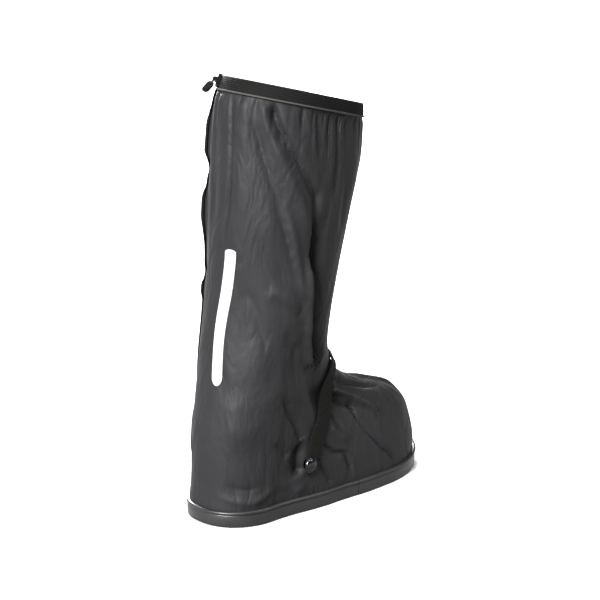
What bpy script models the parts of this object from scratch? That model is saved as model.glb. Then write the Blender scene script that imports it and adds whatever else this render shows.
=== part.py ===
# Rain overshoe for the right foot: a knee-high shell of coated fabric on a rubber sole.
# Metres, +Z up, toe towards +X, inner (medial) side towards +Y.
# The origin is on the floor, under the middle of the heel.
import math

import bpy
import bmesh
import numpy as np
from mathutils import Matrix, Vector

# Sole and foot
SOLE_LENGTH = 0.302
HEEL_WIDTH = 0.097
WAIST_WIDTH = 0.113
BALL_WIDTH = 0.121
HEEL_CENTRE = 0.046
TOE_SWING = 0.007
ARCH_INSET = 0.012
TOE_SPRING = 0.008
SPRING_START = 0.76
SOLE_THICKNESS = 0.0065
GROOVE_DEPTH = 0.003
GROOVE_WIDTH = 0.005
GROOVE_PITCH = 0.0145
HEEL_GROOVES = 4
FOREFOOT_GROOVES = 8
ARCH_LENGTH = 0.060
INSOLE_THICKNESS = 0.0025

# Upper
WALL = 0.0012
INSTEP_HEIGHT = 0.130
SHAFT_HEIGHT = 0.417
SHAFT_DEPTH = 0.154
SHAFT_WIDTH = 0.120

# Rubber band round the foot
FOXING_HEIGHT = 0.0155
FOXING_THICKNESS = 0.0020
FOXING_CLEARANCE = 0.0004
BEAD_HEIGHT = 0.0030
BEAD_RELIEF = 0.0007
TOE_JOINT = 0.470
TOE_RELIEF = 0.0003

# Trim
GAP = 0.0003
LAY_GAP = 0.0004
BINDING_DROP = 0.0125
BINDING_THICKNESS = 0.0012
BINDING_CLEARANCE = 0.0018
TAPE_WIDTH = 0.022
TAPE_THICKNESS = 0.0006
CHAIN_WIDTH = 0.0050
CHAIN_THICKNESS = 0.0015
PLACKET_WIDTH = 0.0080
PLACKET_THICKNESS = 0.0010
ZIP_FOOT = 0.072
STRAP_WIDTH = 0.020
STRAP_THICKNESS = 0.0015
STUD_RADIUS = 0.0055
STUD_THICKNESS = 0.0022
CAP_RADIUS = 0.0075
CAP_RIM = 0.0009
CAP_DOME = 0.0022
REFLECTOR_THICKNESS = 0.0004
STRIP_WIDTH = 0.0130
TRIANGLE_WIDTH = 0.028
TRIANGLE_HEIGHT = 0.034
TRIANGLE_BORDER = 0.0022
TRIANGLE_FOOT = 0.064

# Slider and pull tab
SLIDER_LENGTH = 0.0115
SLIDER_WALL = 0.0012
SLIDER_CLEARANCE = 0.0006
SLIDER_TOP_DROP = -0.0012
EAR_THICKNESS = 0.0012
EAR_LENGTH = 0.0044
PIN_RADIUS = 0.0008
PIN_CLEARANCE = 0.0003
KNUCKLE_WALL = 0.0009
KNUCKLE_WIDTH = 0.0044
TAB_LENGTH = 0.0160
TAB_WIDTH = 0.0085
TAB_THICKNESS = 0.0016
TAB_REST_DEG = 20.0
TAB_TWIST_DEG = 40.0
NECK_LENGTH = 0.0040

# Mesh fineness
AROUND_FRONT = 8
AROUND_SIDE = 8
AROUND_BACK = 6
ROW_STEPS = 2
ZIP_STEPS = 30
STRAP_STEPS = 46

EDGE = FOXING_THICKNESS + GAP
UPPER_LENGTH = SOLE_LENGTH - 2 * EDGE
HEEL_HALF = HEEL_WIDTH / 2 - EDGE
WAIST_HALF = WAIST_WIDTH / 2 - EDGE
BALL_HALF = BALL_WIDTH / 2 - EDGE
SEAT = SOLE_THICKNESS + GAP
HALF_LOOP = AROUND_FRONT + AROUND_SIDE + AROUND_BACK
FRONT_END = AROUND_FRONT / HALF_LOOP
SIDE_END = (AROUND_FRONT + AROUND_SIDE) / HALF_LOOP

# One row for each section of the foot, from the sole edge up to the top of the instep.
# lift_back, lift_front: shares of the rise from the sole to the instep.
# back, front: shares of the upper's length. heel, waist, ball: shares of the foot's half widths.
# cap_back, cap_front: how much of the section's length each round end takes.
# round_back, round_front: squareness of the round ends. climb: how late the line climbs to the front.
# swing, arch: shares of the toe's swing and of the arch's inset.
# roll: the section's slope up to the inner side.
COLUMNS = ("lift_back", "lift_front", "back", "front", "heel", "waist", "ball", "cap_back",
           "cap_front", "round_back", "round_front", "climb", "swing", "arch", "roll")
FOOT_ROWS = (
    (0.000, 0.000, 0.000, 1.000, 1.000, 1.000, 1.000, 0.17, 0.31, 2.20, 2.10, 6.0, 1.00, 1.00, 0.0),
    (0.083, 0.083, 0.000, 1.000, 1.000, 1.000, 1.000, 0.17, 0.31, 2.20, 2.10, 6.0, 1.00, 1.00, 0.0),
    (0.189, 0.222, 0.006, 0.998, 1.010, 1.005, 0.990, 0.18, 0.31, 2.20, 2.10, 4.0, 1.00, 0.90, 0.0),
    (0.302, 0.376, 0.009, 0.984, 1.020, 1.000, 0.965, 0.19, 0.32, 2.20, 2.10, 3.0, 1.00, 0.70, 0.0),
    (0.400, 0.530, 0.010, 0.957, 1.030, 0.985, 0.895, 0.20, 0.33, 2.20, 2.20, 2.0, 1.00, 0.50, 0.0),
    (0.498, 0.655, 0.011, 0.900, 1.040, 0.970, 0.795, 0.22, 0.34, 2.20, 2.20, 1.6, 0.86, 0.30, 0.0),
    (0.595, 0.730, 0.014, 0.822, 1.050, 0.960, 0.700, 0.24, 0.36, 2.20, 2.20, 1.4, 0.71, 0.15, 0.0),
    (0.693, 0.795, 0.019, 0.735, 1.070, 0.950, 0.610, 0.27, 0.38, 2.20, 2.10, 1.2, 0.57, 0.00, 0.0),
    (0.798, 0.875, 0.028, 0.648, 1.095, 0.950, 0.610, 0.30, 0.40, 2.10, 2.10, 1.1, 0.29, 0.00, 0.0),
    (0.920, 1.000, 0.040, 0.574, 1.135, 0.975, 0.680, 0.34, 0.42, 2.10, 2.10, 1.0, 0.14, 0.00, 0.0),
)
# The shaft's rows: lifts are shares of the rise from the instep to the rim at the back.
# front is the section's depth, a share of the shaft's depth; the widths are shares of its half width.
SHAFT_ROWS = (
    (0.0535, 0.099, 0.056, 0.912, 0.900, 0.880, 0.765, 0.38, 0.42, 2.05, 2.00, 1.0, 0.0, 0.0, 0.00),
    (0.1950, 0.230, 0.078, 0.862, 0.945, 0.945, 0.865, 0.42, 0.42, 2.00, 2.00, 1.0, 0.0, 0.0, 0.00),
    (0.3720, 0.373, 0.096, 0.880, 0.980, 0.980, 0.935, 0.42, 0.42, 2.00, 2.00, 1.0, 0.0, 0.0, 0.00),
    (0.5680, 0.533, 0.106, 0.955, 1.010, 1.010, 0.985, 0.42, 0.42, 2.00, 2.00, 1.0, 0.0, 0.0, 0.00),
    (0.7620, 0.697, 0.121, 1.020, 1.015, 1.015, 1.000, 0.42, 0.42, 2.00, 2.00, 1.0, 0.0, 0.0, 0.04),
    (0.9220, 0.848, 0.141, 1.015, 0.985, 0.985, 0.970, 0.42, 0.42, 2.00, 2.00, 1.0, 0.0, 0.0, 0.11),
    (1.0000, 0.925, 0.174, 0.957, 0.930, 0.930, 0.930, 0.42, 0.42, 2.00, 2.00, 1.0, 0.0, 0.0, 0.13),
)
LAST_ROW = len(FOOT_ROWS) + len(SHAFT_ROWS) - 1
EVEN_FROM = 4.0
EVEN_TO = 9.5
ONCE_ROUND = 2.0


def sole_line(x):
    """Height of the sole's underside above the floor: flat, then rising to the toe."""
    toe = SOLE_LENGTH - HEEL_CENTRE
    start = SPRING_START * SOLE_LENGTH - HEEL_CENTRE
    return TOE_SPRING * (np.clip((x - start) / (toe - start), 0.0, 1.1)) ** 2


def section_table():
    """The rows in metres, as one array."""
    rows = []
    for share in FOOT_ROWS:
        row = dict(zip(COLUMNS, share))
        rise = INSTEP_HEIGHT - SEAT
        rows.append((SEAT + rise * row["lift_back"], SEAT + rise * row["lift_front"],
                     EDGE + UPPER_LENGTH * row["back"], EDGE + UPPER_LENGTH * row["front"],
                     HEEL_HALF * row["heel"], WAIST_HALF * row["waist"], BALL_HALF * row["ball"],
                     row["cap_back"], row["cap_front"], row["round_back"], row["round_front"],
                     row["climb"], TOE_SWING * row["swing"], ARCH_INSET * row["arch"], row["roll"]))
    for share in SHAFT_ROWS:
        row = dict(zip(COLUMNS, share))
        rise = SHAFT_HEIGHT - INSTEP_HEIGHT
        back = EDGE + UPPER_LENGTH * row["back"]
        half = SHAFT_WIDTH / 2
        rows.append((INSTEP_HEIGHT + rise * row["lift_back"], INSTEP_HEIGHT + rise * row["lift_front"],
                     back, back + SHAFT_DEPTH * row["front"],
                     half * row["heel"], half * row["waist"], half * row["ball"],
                     row["cap_back"], row["cap_front"], row["round_back"], row["round_front"],
                     row["climb"], TOE_SWING * row["swing"], ARCH_INSET * row["arch"], row["roll"]))
    return np.array(rows)


TABLE = section_table()


def section(level):
    """The table's values at any level, 0 at the sole edge and LAST_ROW at the rim, on a smooth curve."""
    level = np.clip(np.asarray(level, float), 0.0, LAST_ROW)
    low = np.minimum(level.astype(int), LAST_ROW - 1)
    f = (level - low)[..., None]
    padded = np.vstack([2 * TABLE[0] - TABLE[1], TABLE, 2 * TABLE[-1] - TABLE[-2]])
    a, b, c, d = (padded[low + k] for k in range(4))
    return 0.5 * (2 * b + (c - a) * f + (2 * a - 5 * b + 4 * c - d) * f ** 2
                  + (3 * b - a - 3 * c + d) * f ** 3)


def ease(s):
    s = np.clip(s, 0.0, 1.0)
    return s * s * (3 - 2 * s)


HEEL_SHARE = 0.18
WAIST_SHARE = 0.42
BALL_SHARE = 0.62
ARCH_SPREAD = 0.13
SWING_POWER = 5


def bare_surface(level, girth):
    """A point on the outside of the upper. girth is 0 at the front, +1 or -1 at the back,
    positive on the inner side."""
    level, girth = np.broadcast_arrays(np.asarray(level, float), np.asarray(girth, float))
    girth = (girth + 1.0) % ONCE_ROUND - 1.0
    side = np.where(girth >= 0, 1.0, -1.0)
    g = np.abs(girth)
    row = section(level)
    (low_back, low_front, back, front, heel, waist, ball, cap_back, cap_front,
     round_back, round_front, climb, swing, arch, roll) = np.moveaxis(row, -1, 0)
    front_turn = np.clip(g / FRONT_END, 0.0, 1.0) * math.pi / 2
    back_turn = np.clip((1 - g) / (1 - SIDE_END), 0.0, 1.0) * math.pi / 2
    front_along = np.abs(np.cos(front_turn)) ** (2 / round_front)
    front_across = np.abs(np.sin(front_turn)) ** (2 / round_front)
    back_along = np.abs(np.cos(back_turn)) ** (2 / round_back)
    back_across = np.abs(np.sin(back_turn)) ** (2 / round_back)
    q = (g - FRONT_END) / (SIDE_END - FRONT_END)
    t = np.where(g < FRONT_END, 1 - cap_front * (1 - front_along),
                 np.where(g > SIDE_END, cap_back * (1 - back_along),
                          (1 - cap_front) * (1 - q) + cap_back * q))
    across = np.where(g < FRONT_END, front_across, np.where(g > SIDE_END, back_across, 1.0))
    first = ease((t - HEEL_SHARE) / (WAIST_SHARE - HEEL_SHARE))
    second = ease((t - WAIST_SHARE) / (BALL_SHARE - WAIST_SHARE))
    half = heel + (waist - heel) * first + (ball - waist) * second
    inset = arch * np.exp(-((t - WAIST_SHARE) / ARCH_SPREAD) ** 2)
    half = np.where(side > 0, half - inset, half)
    x = back + (front - back) * t - HEEL_CENTRE
    y = side * half * across + swing * t ** SWING_POWER
    z = low_back + (low_front - low_back) * t ** climb + roll * y + sole_line(x)
    return np.stack([x, y, z], -1)


def evened(level, girths):
    """Girths as shares of the way round. On the shaft equal shares are equal lengths of wall;
    on the foot they keep to the toe, side and heel zones."""
    weight = float(ease((level - EVEN_FROM) / (EVEN_TO - EVEN_FROM)))
    fine = np.linspace(0, 1, 241)
    out = np.empty(len(girths))
    for side in (1.0, -1.0):
        line = bare_surface(level, side * fine * 0.999999)
        length = np.concatenate([[0.0], np.cumsum(np.linalg.norm(np.diff(line, axis=0), axis=1))])
        wrapped = (girths + 1.0) % ONCE_ROUND - 1.0
        mine = (wrapped >= 0) == (side > 0)
        share = np.abs(wrapped[mine])
        even = np.interp(share, length / length[-1], fine)
        out[mine] = side * ((1 - weight) * share + weight * even)
    return out


def wall_grid():
    """The wall's corner points and their outward normals, level by level, once round from the front."""
    step = 1e-3
    points = []
    normals = []
    for level in np.linspace(0, LAST_ROW, LAST_ROW * ROW_STEPS + 1):
        girths = evened(level, np.arange(2 * HALF_LOOP) / HALF_LOOP)
        up = min(level + step, LAST_ROW)
        down = max(level - step, 0)
        along = bare_surface(up, girths) - bare_surface(down, girths)
        round_ = bare_surface(level, girths + step) - bare_surface(level, girths - step)
        normal = np.cross(round_, along)
        points.append(bare_surface(level, girths))
        normals.append(normal / np.linalg.norm(normal, axis=-1, keepdims=True))
    return np.array(points), np.array(normals)


WALL_POINTS, WALL_NORMALS = wall_grid()


def read_grid(grid, level, girth):
    """A value between the wall's corner points."""
    level, girth = np.broadcast_arrays(np.asarray(level, float), np.asarray(girth, float))
    u = np.clip(level, 0, LAST_ROW) * ROW_STEPS
    i = np.minimum(u.astype(int), LAST_ROW * ROW_STEPS - 1)
    v = (girth % ONCE_ROUND) * HALF_LOOP
    j = v.astype(int) % (2 * HALF_LOOP)
    k = (j + 1) % (2 * HALF_LOOP)
    s = (u - i)[..., None]
    t = (v - np.floor(v))[..., None]
    low = grid[i, j] * (1 - t) + grid[i, k] * t
    high = grid[i + 1, j] * (1 - t) + grid[i + 1, k] * t
    return low * (1 - s) + high * s


def surface(level, girth):
    """A point on the outside of the wall as it is faceted."""
    return read_grid(WALL_POINTS, level, girth)


def frame_at(level, girth):
    """Point, slope along the level, slope along the girth and outward normal."""
    step = 1e-3
    level = np.clip(np.asarray(level, float), 0, LAST_ROW)
    up = np.clip(level + step, 0, LAST_ROW)
    down = np.clip(level - step, 0, LAST_ROW)
    along = (surface(up, girth) - surface(down, girth)) / (up - down)[..., None]
    round_ = (surface(level, girth + step) - surface(level, girth - step)) / (2 * step)
    normal = read_grid(WALL_NORMALS, level, girth)
    normal = normal / np.linalg.norm(normal, axis=-1, keepdims=True)
    return surface(level, girth), along, round_, normal


def skin(level, girth, out):
    """The wall's outside moved out along its normal."""
    level, girth, out = np.broadcast_arrays(level, girth, out)
    point, _, _, normal = frame_at(level, girth)
    return point + normal * out[..., None]


def level_at(height, girth):
    """The level at which the wall has this height at this girth."""
    low, high = 0.0, float(LAST_ROW)
    for _ in range(40):
        middle = (low + high) / 2
        if float(surface(middle, girth)[..., 2]) < height:
            low = middle
        else:
            high = middle
    return (low + high) / 2


def smooth_path(points, count):
    """A smooth curve through hand-set points, read at even shares."""
    pts = np.array(points, float)
    ends = np.vstack([2 * pts[0] - pts[1], pts, 2 * pts[-1] - pts[-2]])
    out = []
    for s in np.linspace(0, len(pts) - 1, count):
        low = min(int(s), len(pts) - 2)
        f = s - low
        a, b, c, d = ends[low:low + 4]
        out.append(0.5 * (2 * b + (c - a) * f + (2 * a - 5 * b + 4 * c - d) * f * f
                          + (3 * b - a - 3 * c + d) * f ** 3))
    return np.array(out)


def wall_path(points, unit, count):
    """Levels and girths along a route given by heights above the floor, as shares of unit, and girths."""
    return smooth_path([(level_at(share * unit, girth), girth) for share, girth in points], count)


def ribbon(path, lefts, rights, outs, columns):
    """A sheet that lies on the wall along a path, from lefts to rights across it, at height outs."""
    step = np.gradient(path, axis=0)
    start, along, round_, normal = frame_at(path[:, 0], path[:, 1])
    tangent = along * step[:, :1] + round_ * step[:, 1:]
    tangent /= np.linalg.norm(tangent, axis=1, keepdims=True)
    across = np.cross(normal, tangent)
    sheet = []
    for k in range(columns + 1):
        width = (lefts + (rights - lefts) * k / columns)[:, None]
        moved = path.copy()
        for _ in range(4):
            point, along, round_, _ = frame_at(moved[:, 0], moved[:, 1])
            travelled = point - start
            side = np.sum(travelled * across, axis=1, keepdims=True)
            ahead = np.sum(travelled * tangent, axis=1, keepdims=True)
            reach = np.linalg.norm(travelled, axis=1, keepdims=True)
            missing = across * (width - np.sign(side) * np.maximum(reach, np.abs(side))) - tangent * ahead
            for i in range(len(path)):
                basis = np.stack([along[i], round_[i]], 1)
                moved[i] += np.linalg.lstsq(basis, missing[i], rcond=None)[0]
            moved[:, 0] = np.clip(moved[:, 0], 0, LAST_ROW)
        sheet.append(skin(moved[:, 0], moved[:, 1], outs))
    return np.array(sheet)


def material(name, colour, roughness, metallic=0.0):
    mat = bpy.data.materials.new(name)
    mat.use_nodes = True
    shader = mat.node_tree.nodes["Principled BSDF"]
    shader.inputs["Base Color"].default_value = (*colour, 1.0)
    shader.inputs["Roughness"].default_value = roughness
    shader.inputs["Metallic"].default_value = metallic
    return mat


def add_object(name, mesh, mat):
    obj = bpy.data.objects.new(name, mesh)
    bpy.context.scene.collection.objects.link(obj)
    obj.data.materials.append(mat)
    return obj


def mesh_from(name, points, faces):
    mesh = bpy.data.meshes.new(name)
    mesh.from_pydata([tuple(p) for p in points], [], faces)
    bm = bmesh.new()
    bm.from_mesh(mesh)
    bmesh.ops.recalc_face_normals(bm, faces=bm.faces)
    bm.to_mesh(mesh)
    bm.free()
    return mesh


def between(name, outer, inner, mat, closed=False):
    """The solid between two sheets of the same grid, joined along their edges."""
    rows, count = outer.shape[:2]
    points = np.vstack([outer.reshape(-1, 3), inner.reshape(-1, 3)])
    back = rows * count
    last = count if closed else count - 1
    faces = []
    for i in range(rows - 1):
        for j in range(last):
            a = i * count + j
            b = i * count + (j + 1) % count
            c = b + count
            d = a + count
            faces.append((a, b, c, d))
            faces.append((back + d, back + c, back + b, back + a))
    for i in (0, rows - 1):
        for j in range(last):
            a = i * count + j
            b = i * count + (j + 1) % count
            faces.append((a, back + a, back + b, b))
    if not closed:
        for j in (0, count - 1):
            for i in range(rows - 1):
                a = i * count + j
                b = a + count
                faces.append((a, b, back + b, back + a))
    return add_object(name, mesh_from(name, points, faces), mat)


def build_upper(mat):
    inner = WALL_POINTS - WALL * WALL_NORMALS
    inner[0, :, 2] = WALL_POINTS[0, :, 2]
    return between("upper", WALL_POINTS, inner, mat, closed=True)


def foot_outline(out):
    """The foot's outline at the sole, moved out, as matching inner and outer side points."""
    girths = np.arange(HALF_LOOP + 1) / HALF_LOOP
    medial = skin(0.0, girths, out)
    lateral = skin(0.0, -girths, out)
    middle = (medial[0, 1] + lateral[0, 1]) / 2
    medial[0, 1] = lateral[0, 1] = middle
    middle = (medial[-1, 1] + lateral[-1, 1]) / 2
    medial[-1, 1] = lateral[-1, 1] = middle
    return medial, lateral


def plate(name, out, bottom, top, mat):
    """A plate that fills the foot's outline and follows the toe spring."""
    medial, lateral = foot_outline(out)
    count = len(medial)
    points = []
    for height in (bottom, top):
        for line in (medial, lateral):
            for x, y, _ in line:
                points.append((x, y, height + float(sole_line(x))))
    low_m, low_l, high_m, high_l = (k * count for k in range(4))
    faces = []
    for i in range(count - 1):
        faces.append((low_m + i, low_m + i + 1, low_l + i + 1, low_l + i))
        faces.append((high_l + i, high_l + i + 1, high_m + i + 1, high_m + i))
        faces.append((high_m + i, high_m + i + 1, low_m + i + 1, low_m + i))
        faces.append((low_l + i, low_l + i + 1, high_l + i + 1, high_l + i))
    mesh = bpy.data.meshes.new(name)
    mesh.from_pydata(points, [], faces)
    bm = bmesh.new()
    bm.from_mesh(mesh)
    bmesh.ops.remove_doubles(bm, verts=bm.verts, dist=1e-6)
    bmesh.ops.recalc_face_normals(bm, faces=bm.faces)
    bm.to_mesh(mesh)
    bm.free()
    return add_object(name, mesh, mat)


def box_faces(k):
    """The faces of a box whose four low corners start at point k, the four high ones after them."""
    return [(k + 3, k + 2, k + 1, k), (k + 4, k + 5, k + 6, k + 7), (k, k + 1, k + 5, k + 4),
            (k + 1, k + 2, k + 6, k + 5), (k + 2, k + 3, k + 7, k + 6), (k + 3, k, k + 4, k + 7)]


def groove_cutters():
    """The tread's cross grooves and the recess under the arch, as one cutter."""
    reach = BALL_WIDTH
    spans = []
    for i in range(HEEL_GROOVES):
        middle = GROOVE_PITCH * (i - (HEEL_GROOVES - 1) / 2)
        spans.append((middle - GROOVE_WIDTH / 2, middle + GROOVE_WIDTH / 2))
    arch_start = spans[-1][1] + GROOVE_PITCH - GROOVE_WIDTH
    spans.append((arch_start, arch_start + ARCH_LENGTH))
    for i in range(FOREFOOT_GROOVES):
        middle = arch_start + ARCH_LENGTH + GROOVE_PITCH * (i + 1) - GROOVE_WIDTH / 2
        spans.append((middle - GROOVE_WIDTH / 2, middle + GROOVE_WIDTH / 2))
    points = []
    faces = []
    for low, high in spans:
        k = len(points)
        top_low = GROOVE_DEPTH + float(sole_line(low))
        top_high = GROOVE_DEPTH + float(sole_line(high))
        base = -GROOVE_DEPTH
        points += [(low, -reach, base), (high, -reach, base), (high, reach, base), (low, reach, base)]
        points += [(low, -reach, top_low), (high, -reach, top_high),
                   (high, reach, top_high), (low, reach, top_low)]
        faces += box_faces(k)
    cutter = bpy.data.objects.new("tread_cutter", mesh_from("tread_cutter", points, faces))
    bpy.context.scene.collection.objects.link(cutter)
    cutter.hide_render = True
    cutter.display_type = "WIRE"
    return cutter


def boolean(obj, other, operation):
    mod = obj.modifiers.new(operation.lower(), "BOOLEAN")
    mod.operation = operation
    mod.solver = "EXACT"
    mod.object = other


def build_outsole(mat):
    sole = plate("outsole", 0.0, 0.0, SOLE_THICKNESS, mat)
    boolean(sole, groove_cutters(), "DIFFERENCE")
    return sole


def build_insole(mat):
    return plate("insole", -(WALL + GAP), SEAT, SEAT + INSOLE_THICKNESS, mat)


def girths_between(start, end, steps=1):
    """Girths from start to end through the wall's own corner lines, so that a band follows its facets."""
    near = 0.15 / HALF_LOOP
    lines = np.arange(-2 * steps * HALF_LOOP, 4 * steps * HALF_LOOP) / (steps * HALF_LOOP)
    return np.array([start] + [g for g in lines if start + near < g < end - near] + [end])


def build_foxing(name, start, end, relief, mat):
    """A stretch of the rubber band, with its raised bead along the top."""
    girths = girths_between(start, end)
    face = GAP + FOXING_THICKNESS + relief
    bead = face + BEAD_RELIEF
    top = FOXING_HEIGHT
    profile = ((FOXING_CLEARANCE, face - FOXING_THICKNESS / 4), (2 * FOXING_CLEARANCE, face),
               (top - BEAD_HEIGHT - BEAD_RELIEF, face), (top - BEAD_HEIGHT, bead),
               (top - BEAD_RELIEF, bead), (top, face))
    outer = []
    inner = []
    for height, out in profile:
        for sheet, offset in ((outer, out), (inner, GAP)):
            line = skin(0.0, girths, offset)
            line[:, 2] = height + sole_line(line[:, 0])
            sheet.append(line)
    return between(name, np.array(outer), np.array(inner), mat)


# The zip's route down the inner side, by height and girth, and the rim's girth there.
ZIP_GIRTH_TOP = 0.830
ZIP_GIRTH_FOOT = 0.685


def zip_path(top_drop, count):
    """The zip's line from its foot to a little below the rim."""
    top = level_at_rim(ZIP_GIRTH_TOP, top_drop)
    foot = level_at(ZIP_FOOT, ZIP_GIRTH_FOOT)
    level = np.linspace(foot, top, count)
    climbed = (level - foot) / (LAST_ROW - foot)
    girth = ZIP_GIRTH_FOOT + (ZIP_GIRTH_TOP - ZIP_GIRTH_FOOT) * (1 - (1 - climbed) ** 2)
    return np.stack([level, girth], 1)


def level_at_rim(girth, drop):
    """The level that lies a distance below the rim."""
    rim = float(surface(float(LAST_ROW), girth)[..., 2])
    return level_at(rim - drop, girth)


def build_binding(mat):
    """The folded band over the rim, open where the zip ends."""
    half_gap = (CHAIN_WIDTH / 2 + SLIDER_CLEARANCE + SLIDER_WALL + 2 * GAP) / girth_scale(ZIP_GIRTH_TOP)
    start = ZIP_GIRTH_TOP + half_gap
    end = ZIP_GIRTH_TOP - half_gap + ONCE_ROUND
    girths = girths_between(start, end)
    thick = BINDING_THICKNESS
    near = LAY_GAP
    far = -WALL - LAY_GAP
    outside = near + thick
    inward = far - thick
    drop = BINDING_DROP
    outer_profile = ((-drop, outside), (0.0, outside), (GAP + thick, outside - thick / 2),
                     (GAP + thick, inward + thick / 2), (0.0, inward), (-drop, inward))
    inner_profile = ((-drop, near), (0.0, near), (GAP, near), (GAP, far), (0.0, far), (-drop, far))
    sheets = []
    for profile in (outer_profile, inner_profile):
        sheet = []
        for rise, out in profile:
            line = []
            for g in girths:
                line.append(rim_point(g, rise, out))
            sheet.append(line)
        sheets.append(np.array(sheet))
    return between("collar_binding", sheets[0], sheets[1], mat)


def girth_scale(girth):
    """Metres of rim for each unit of girth."""
    _, _, round_, _ = frame_at(float(LAST_ROW), np.array(girth))
    return float(np.linalg.norm(round_))


def rim_point(girth, rise, out):
    """A point near the rim: out from the wall, and above or below the rim along the wall."""
    g = np.array(girth)
    if rise < 0:
        level = level_at_rim(girth, -rise)
        return skin(level, g, out)
    point, along, _, normal = frame_at(float(LAST_ROW), g)
    along = along / np.linalg.norm(along)
    return point + along * rise + normal * out


def build_zip(tape_mat, chain_mat, placket_mat):
    """Tape, chain and the two plackets that edge the chain."""
    count = ZIP_STEPS
    tape_top = LAY_GAP + TAPE_THICKNESS
    wide = zip_path(BINDING_DROP + BINDING_CLEARANCE, count)
    narrow = CHAIN_WIDTH / 2 + SLIDER_WALL
    neck = zip_path(0.0, count)
    path = np.vstack([wide, wide[-1:] + (neck[-1:] - wide[-1:]) * 0.04, neck[-1:]])
    half = np.full(len(path), TAPE_WIDTH / 2)
    half[-2:] = narrow
    n = len(path)
    outer = ribbon(path, -half, half, np.full(n, tape_top), 6)
    inner = ribbon(path, -half, half, np.full(n, LAY_GAP), 6)
    between("zip_tape", outer, inner, tape_mat)
    path = zip_path(0.0, count + 2)
    n = len(path)
    half = np.full(n, CHAIN_WIDTH / 2)
    low = tape_top + GAP
    outer = ribbon(path, -half, half, np.full(n, low + CHAIN_THICKNESS), 1)
    inner = ribbon(path, -half, half, np.full(n, low), 1)
    between("zip_chain", outer, inner, chain_mat)
    path = wide
    n = len(path)
    near = np.full(n, CHAIN_WIDTH / 2 + SLIDER_CLEARANCE + SLIDER_WALL + 2 * GAP)
    far = near + PLACKET_WIDTH
    for name, a, b in (("zip_placket_front", near, far), ("zip_placket_rear", -far, -near)):
        outer = ribbon(path, a, b, np.full(n, low + PLACKET_THICKNESS), 2)
        inner = ribbon(path, a, b, np.full(n, low), 2)
        between(name, outer, inner, placket_mat)


def zip_frame(drop):
    """A frame on the chain's face: X across, Y up along the zip, Z outward."""
    level = level_at_rim(ZIP_GIRTH_TOP, drop)
    point, along, _, normal = frame_at(level, np.array(ZIP_GIRTH_TOP))
    up = Vector(along).normalized()
    out = Vector(normal).normalized()
    across = up.cross(out).normalized()
    up = out.cross(across)
    place = Vector(point) + out * (LAY_GAP + TAPE_THICKNESS + GAP + CHAIN_THICKNESS)
    matrix = Matrix((across, up, out)).transposed().to_4x4()
    matrix.translation = place
    return matrix


def prism(name, outline, low, high, axis, mat):
    """A flat outline pushed along an axis: (a, b) pairs in the other two axes, in order."""
    def place(a, b, c):
        return {"X": (c, a, b), "Y": (b, c, a), "Z": (a, b, c)}[axis]
    count = len(outline)
    points = [place(a, b, low) for a, b in outline] + [place(a, b, high) for a, b in outline]
    faces = [tuple(range(count)), tuple(range(count, 2 * count))]
    for i in range(count):
        j = (i + 1) % count
        faces.append((i, j, count + j, count + i))
    mesh = mesh_from(name, points, faces)
    return add_object(name, mesh, mat)


def hide_as_guide(obj):
    obj.hide_render = True
    obj.display_type = "WIRE"


def circle(radius, count, centre=(0.0, 0.0)):
    return [(centre[0] + radius * math.cos(2 * math.pi * i / count),
             centre[1] + radius * math.sin(2 * math.pi * i / count)) for i in range(count)]


def build_slider(mat):
    """The slider: a plate over the chain with two side walls, two ears and the pin between them."""
    matrix = zip_frame(SLIDER_TOP_DROP + SLIDER_LENGTH / 2)
    inside = CHAIN_WIDTH / 2 + SLIDER_CLEARANCE
    outside = inside + SLIDER_WALL
    roof = SLIDER_CLEARANCE
    top = roof + SLIDER_WALL
    foot = -CHAIN_THICKNESS
    half = SLIDER_LENGTH / 2
    channel = [(-outside, foot), (-inside, foot), (-inside, roof), (inside, roof),
               (inside, foot), (outside, foot), (outside, top - GAP), (outside - GAP, top),
               (-outside + GAP, top), (-outside, top - GAP)]
    body = prism("zip_slider", [(b, a) for a, b in channel], -half, half, "Y", mat)
    pin_height = top + PIN_CLEARANCE + PIN_RADIUS + PIN_CLEARANCE + KNUCKLE_WALL
    ear_gap = KNUCKLE_WIDTH / 2 + GAP
    ear_high = pin_height + PIN_RADIUS + KNUCKLE_WALL / 2
    ear = [(-EAR_LENGTH / 2, top - GAP), (EAR_LENGTH / 2, top - GAP), (EAR_LENGTH / 4, ear_high),
           (-EAR_LENGTH / 4, ear_high)]
    for k, side in enumerate((-1, 1)):
        a = side * ear_gap
        b = side * (ear_gap + EAR_THICKNESS)
        piece = prism("slider_ear_%d" % k, ear, min(a, b), max(a, b), "X", mat)
        piece.matrix_world = matrix
        hide_as_guide(piece)
        boolean(body, piece, "UNION")
    reach = ear_gap + EAR_THICKNESS / 2
    pin = prism("slider_pin", circle(PIN_RADIUS, 12, (0.0, pin_height)), -reach, reach, "X", mat)
    pin.matrix_world = matrix
    hide_as_guide(pin)
    boolean(body, pin, "UNION")
    body.matrix_world = matrix
    return matrix, pin_height


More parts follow.
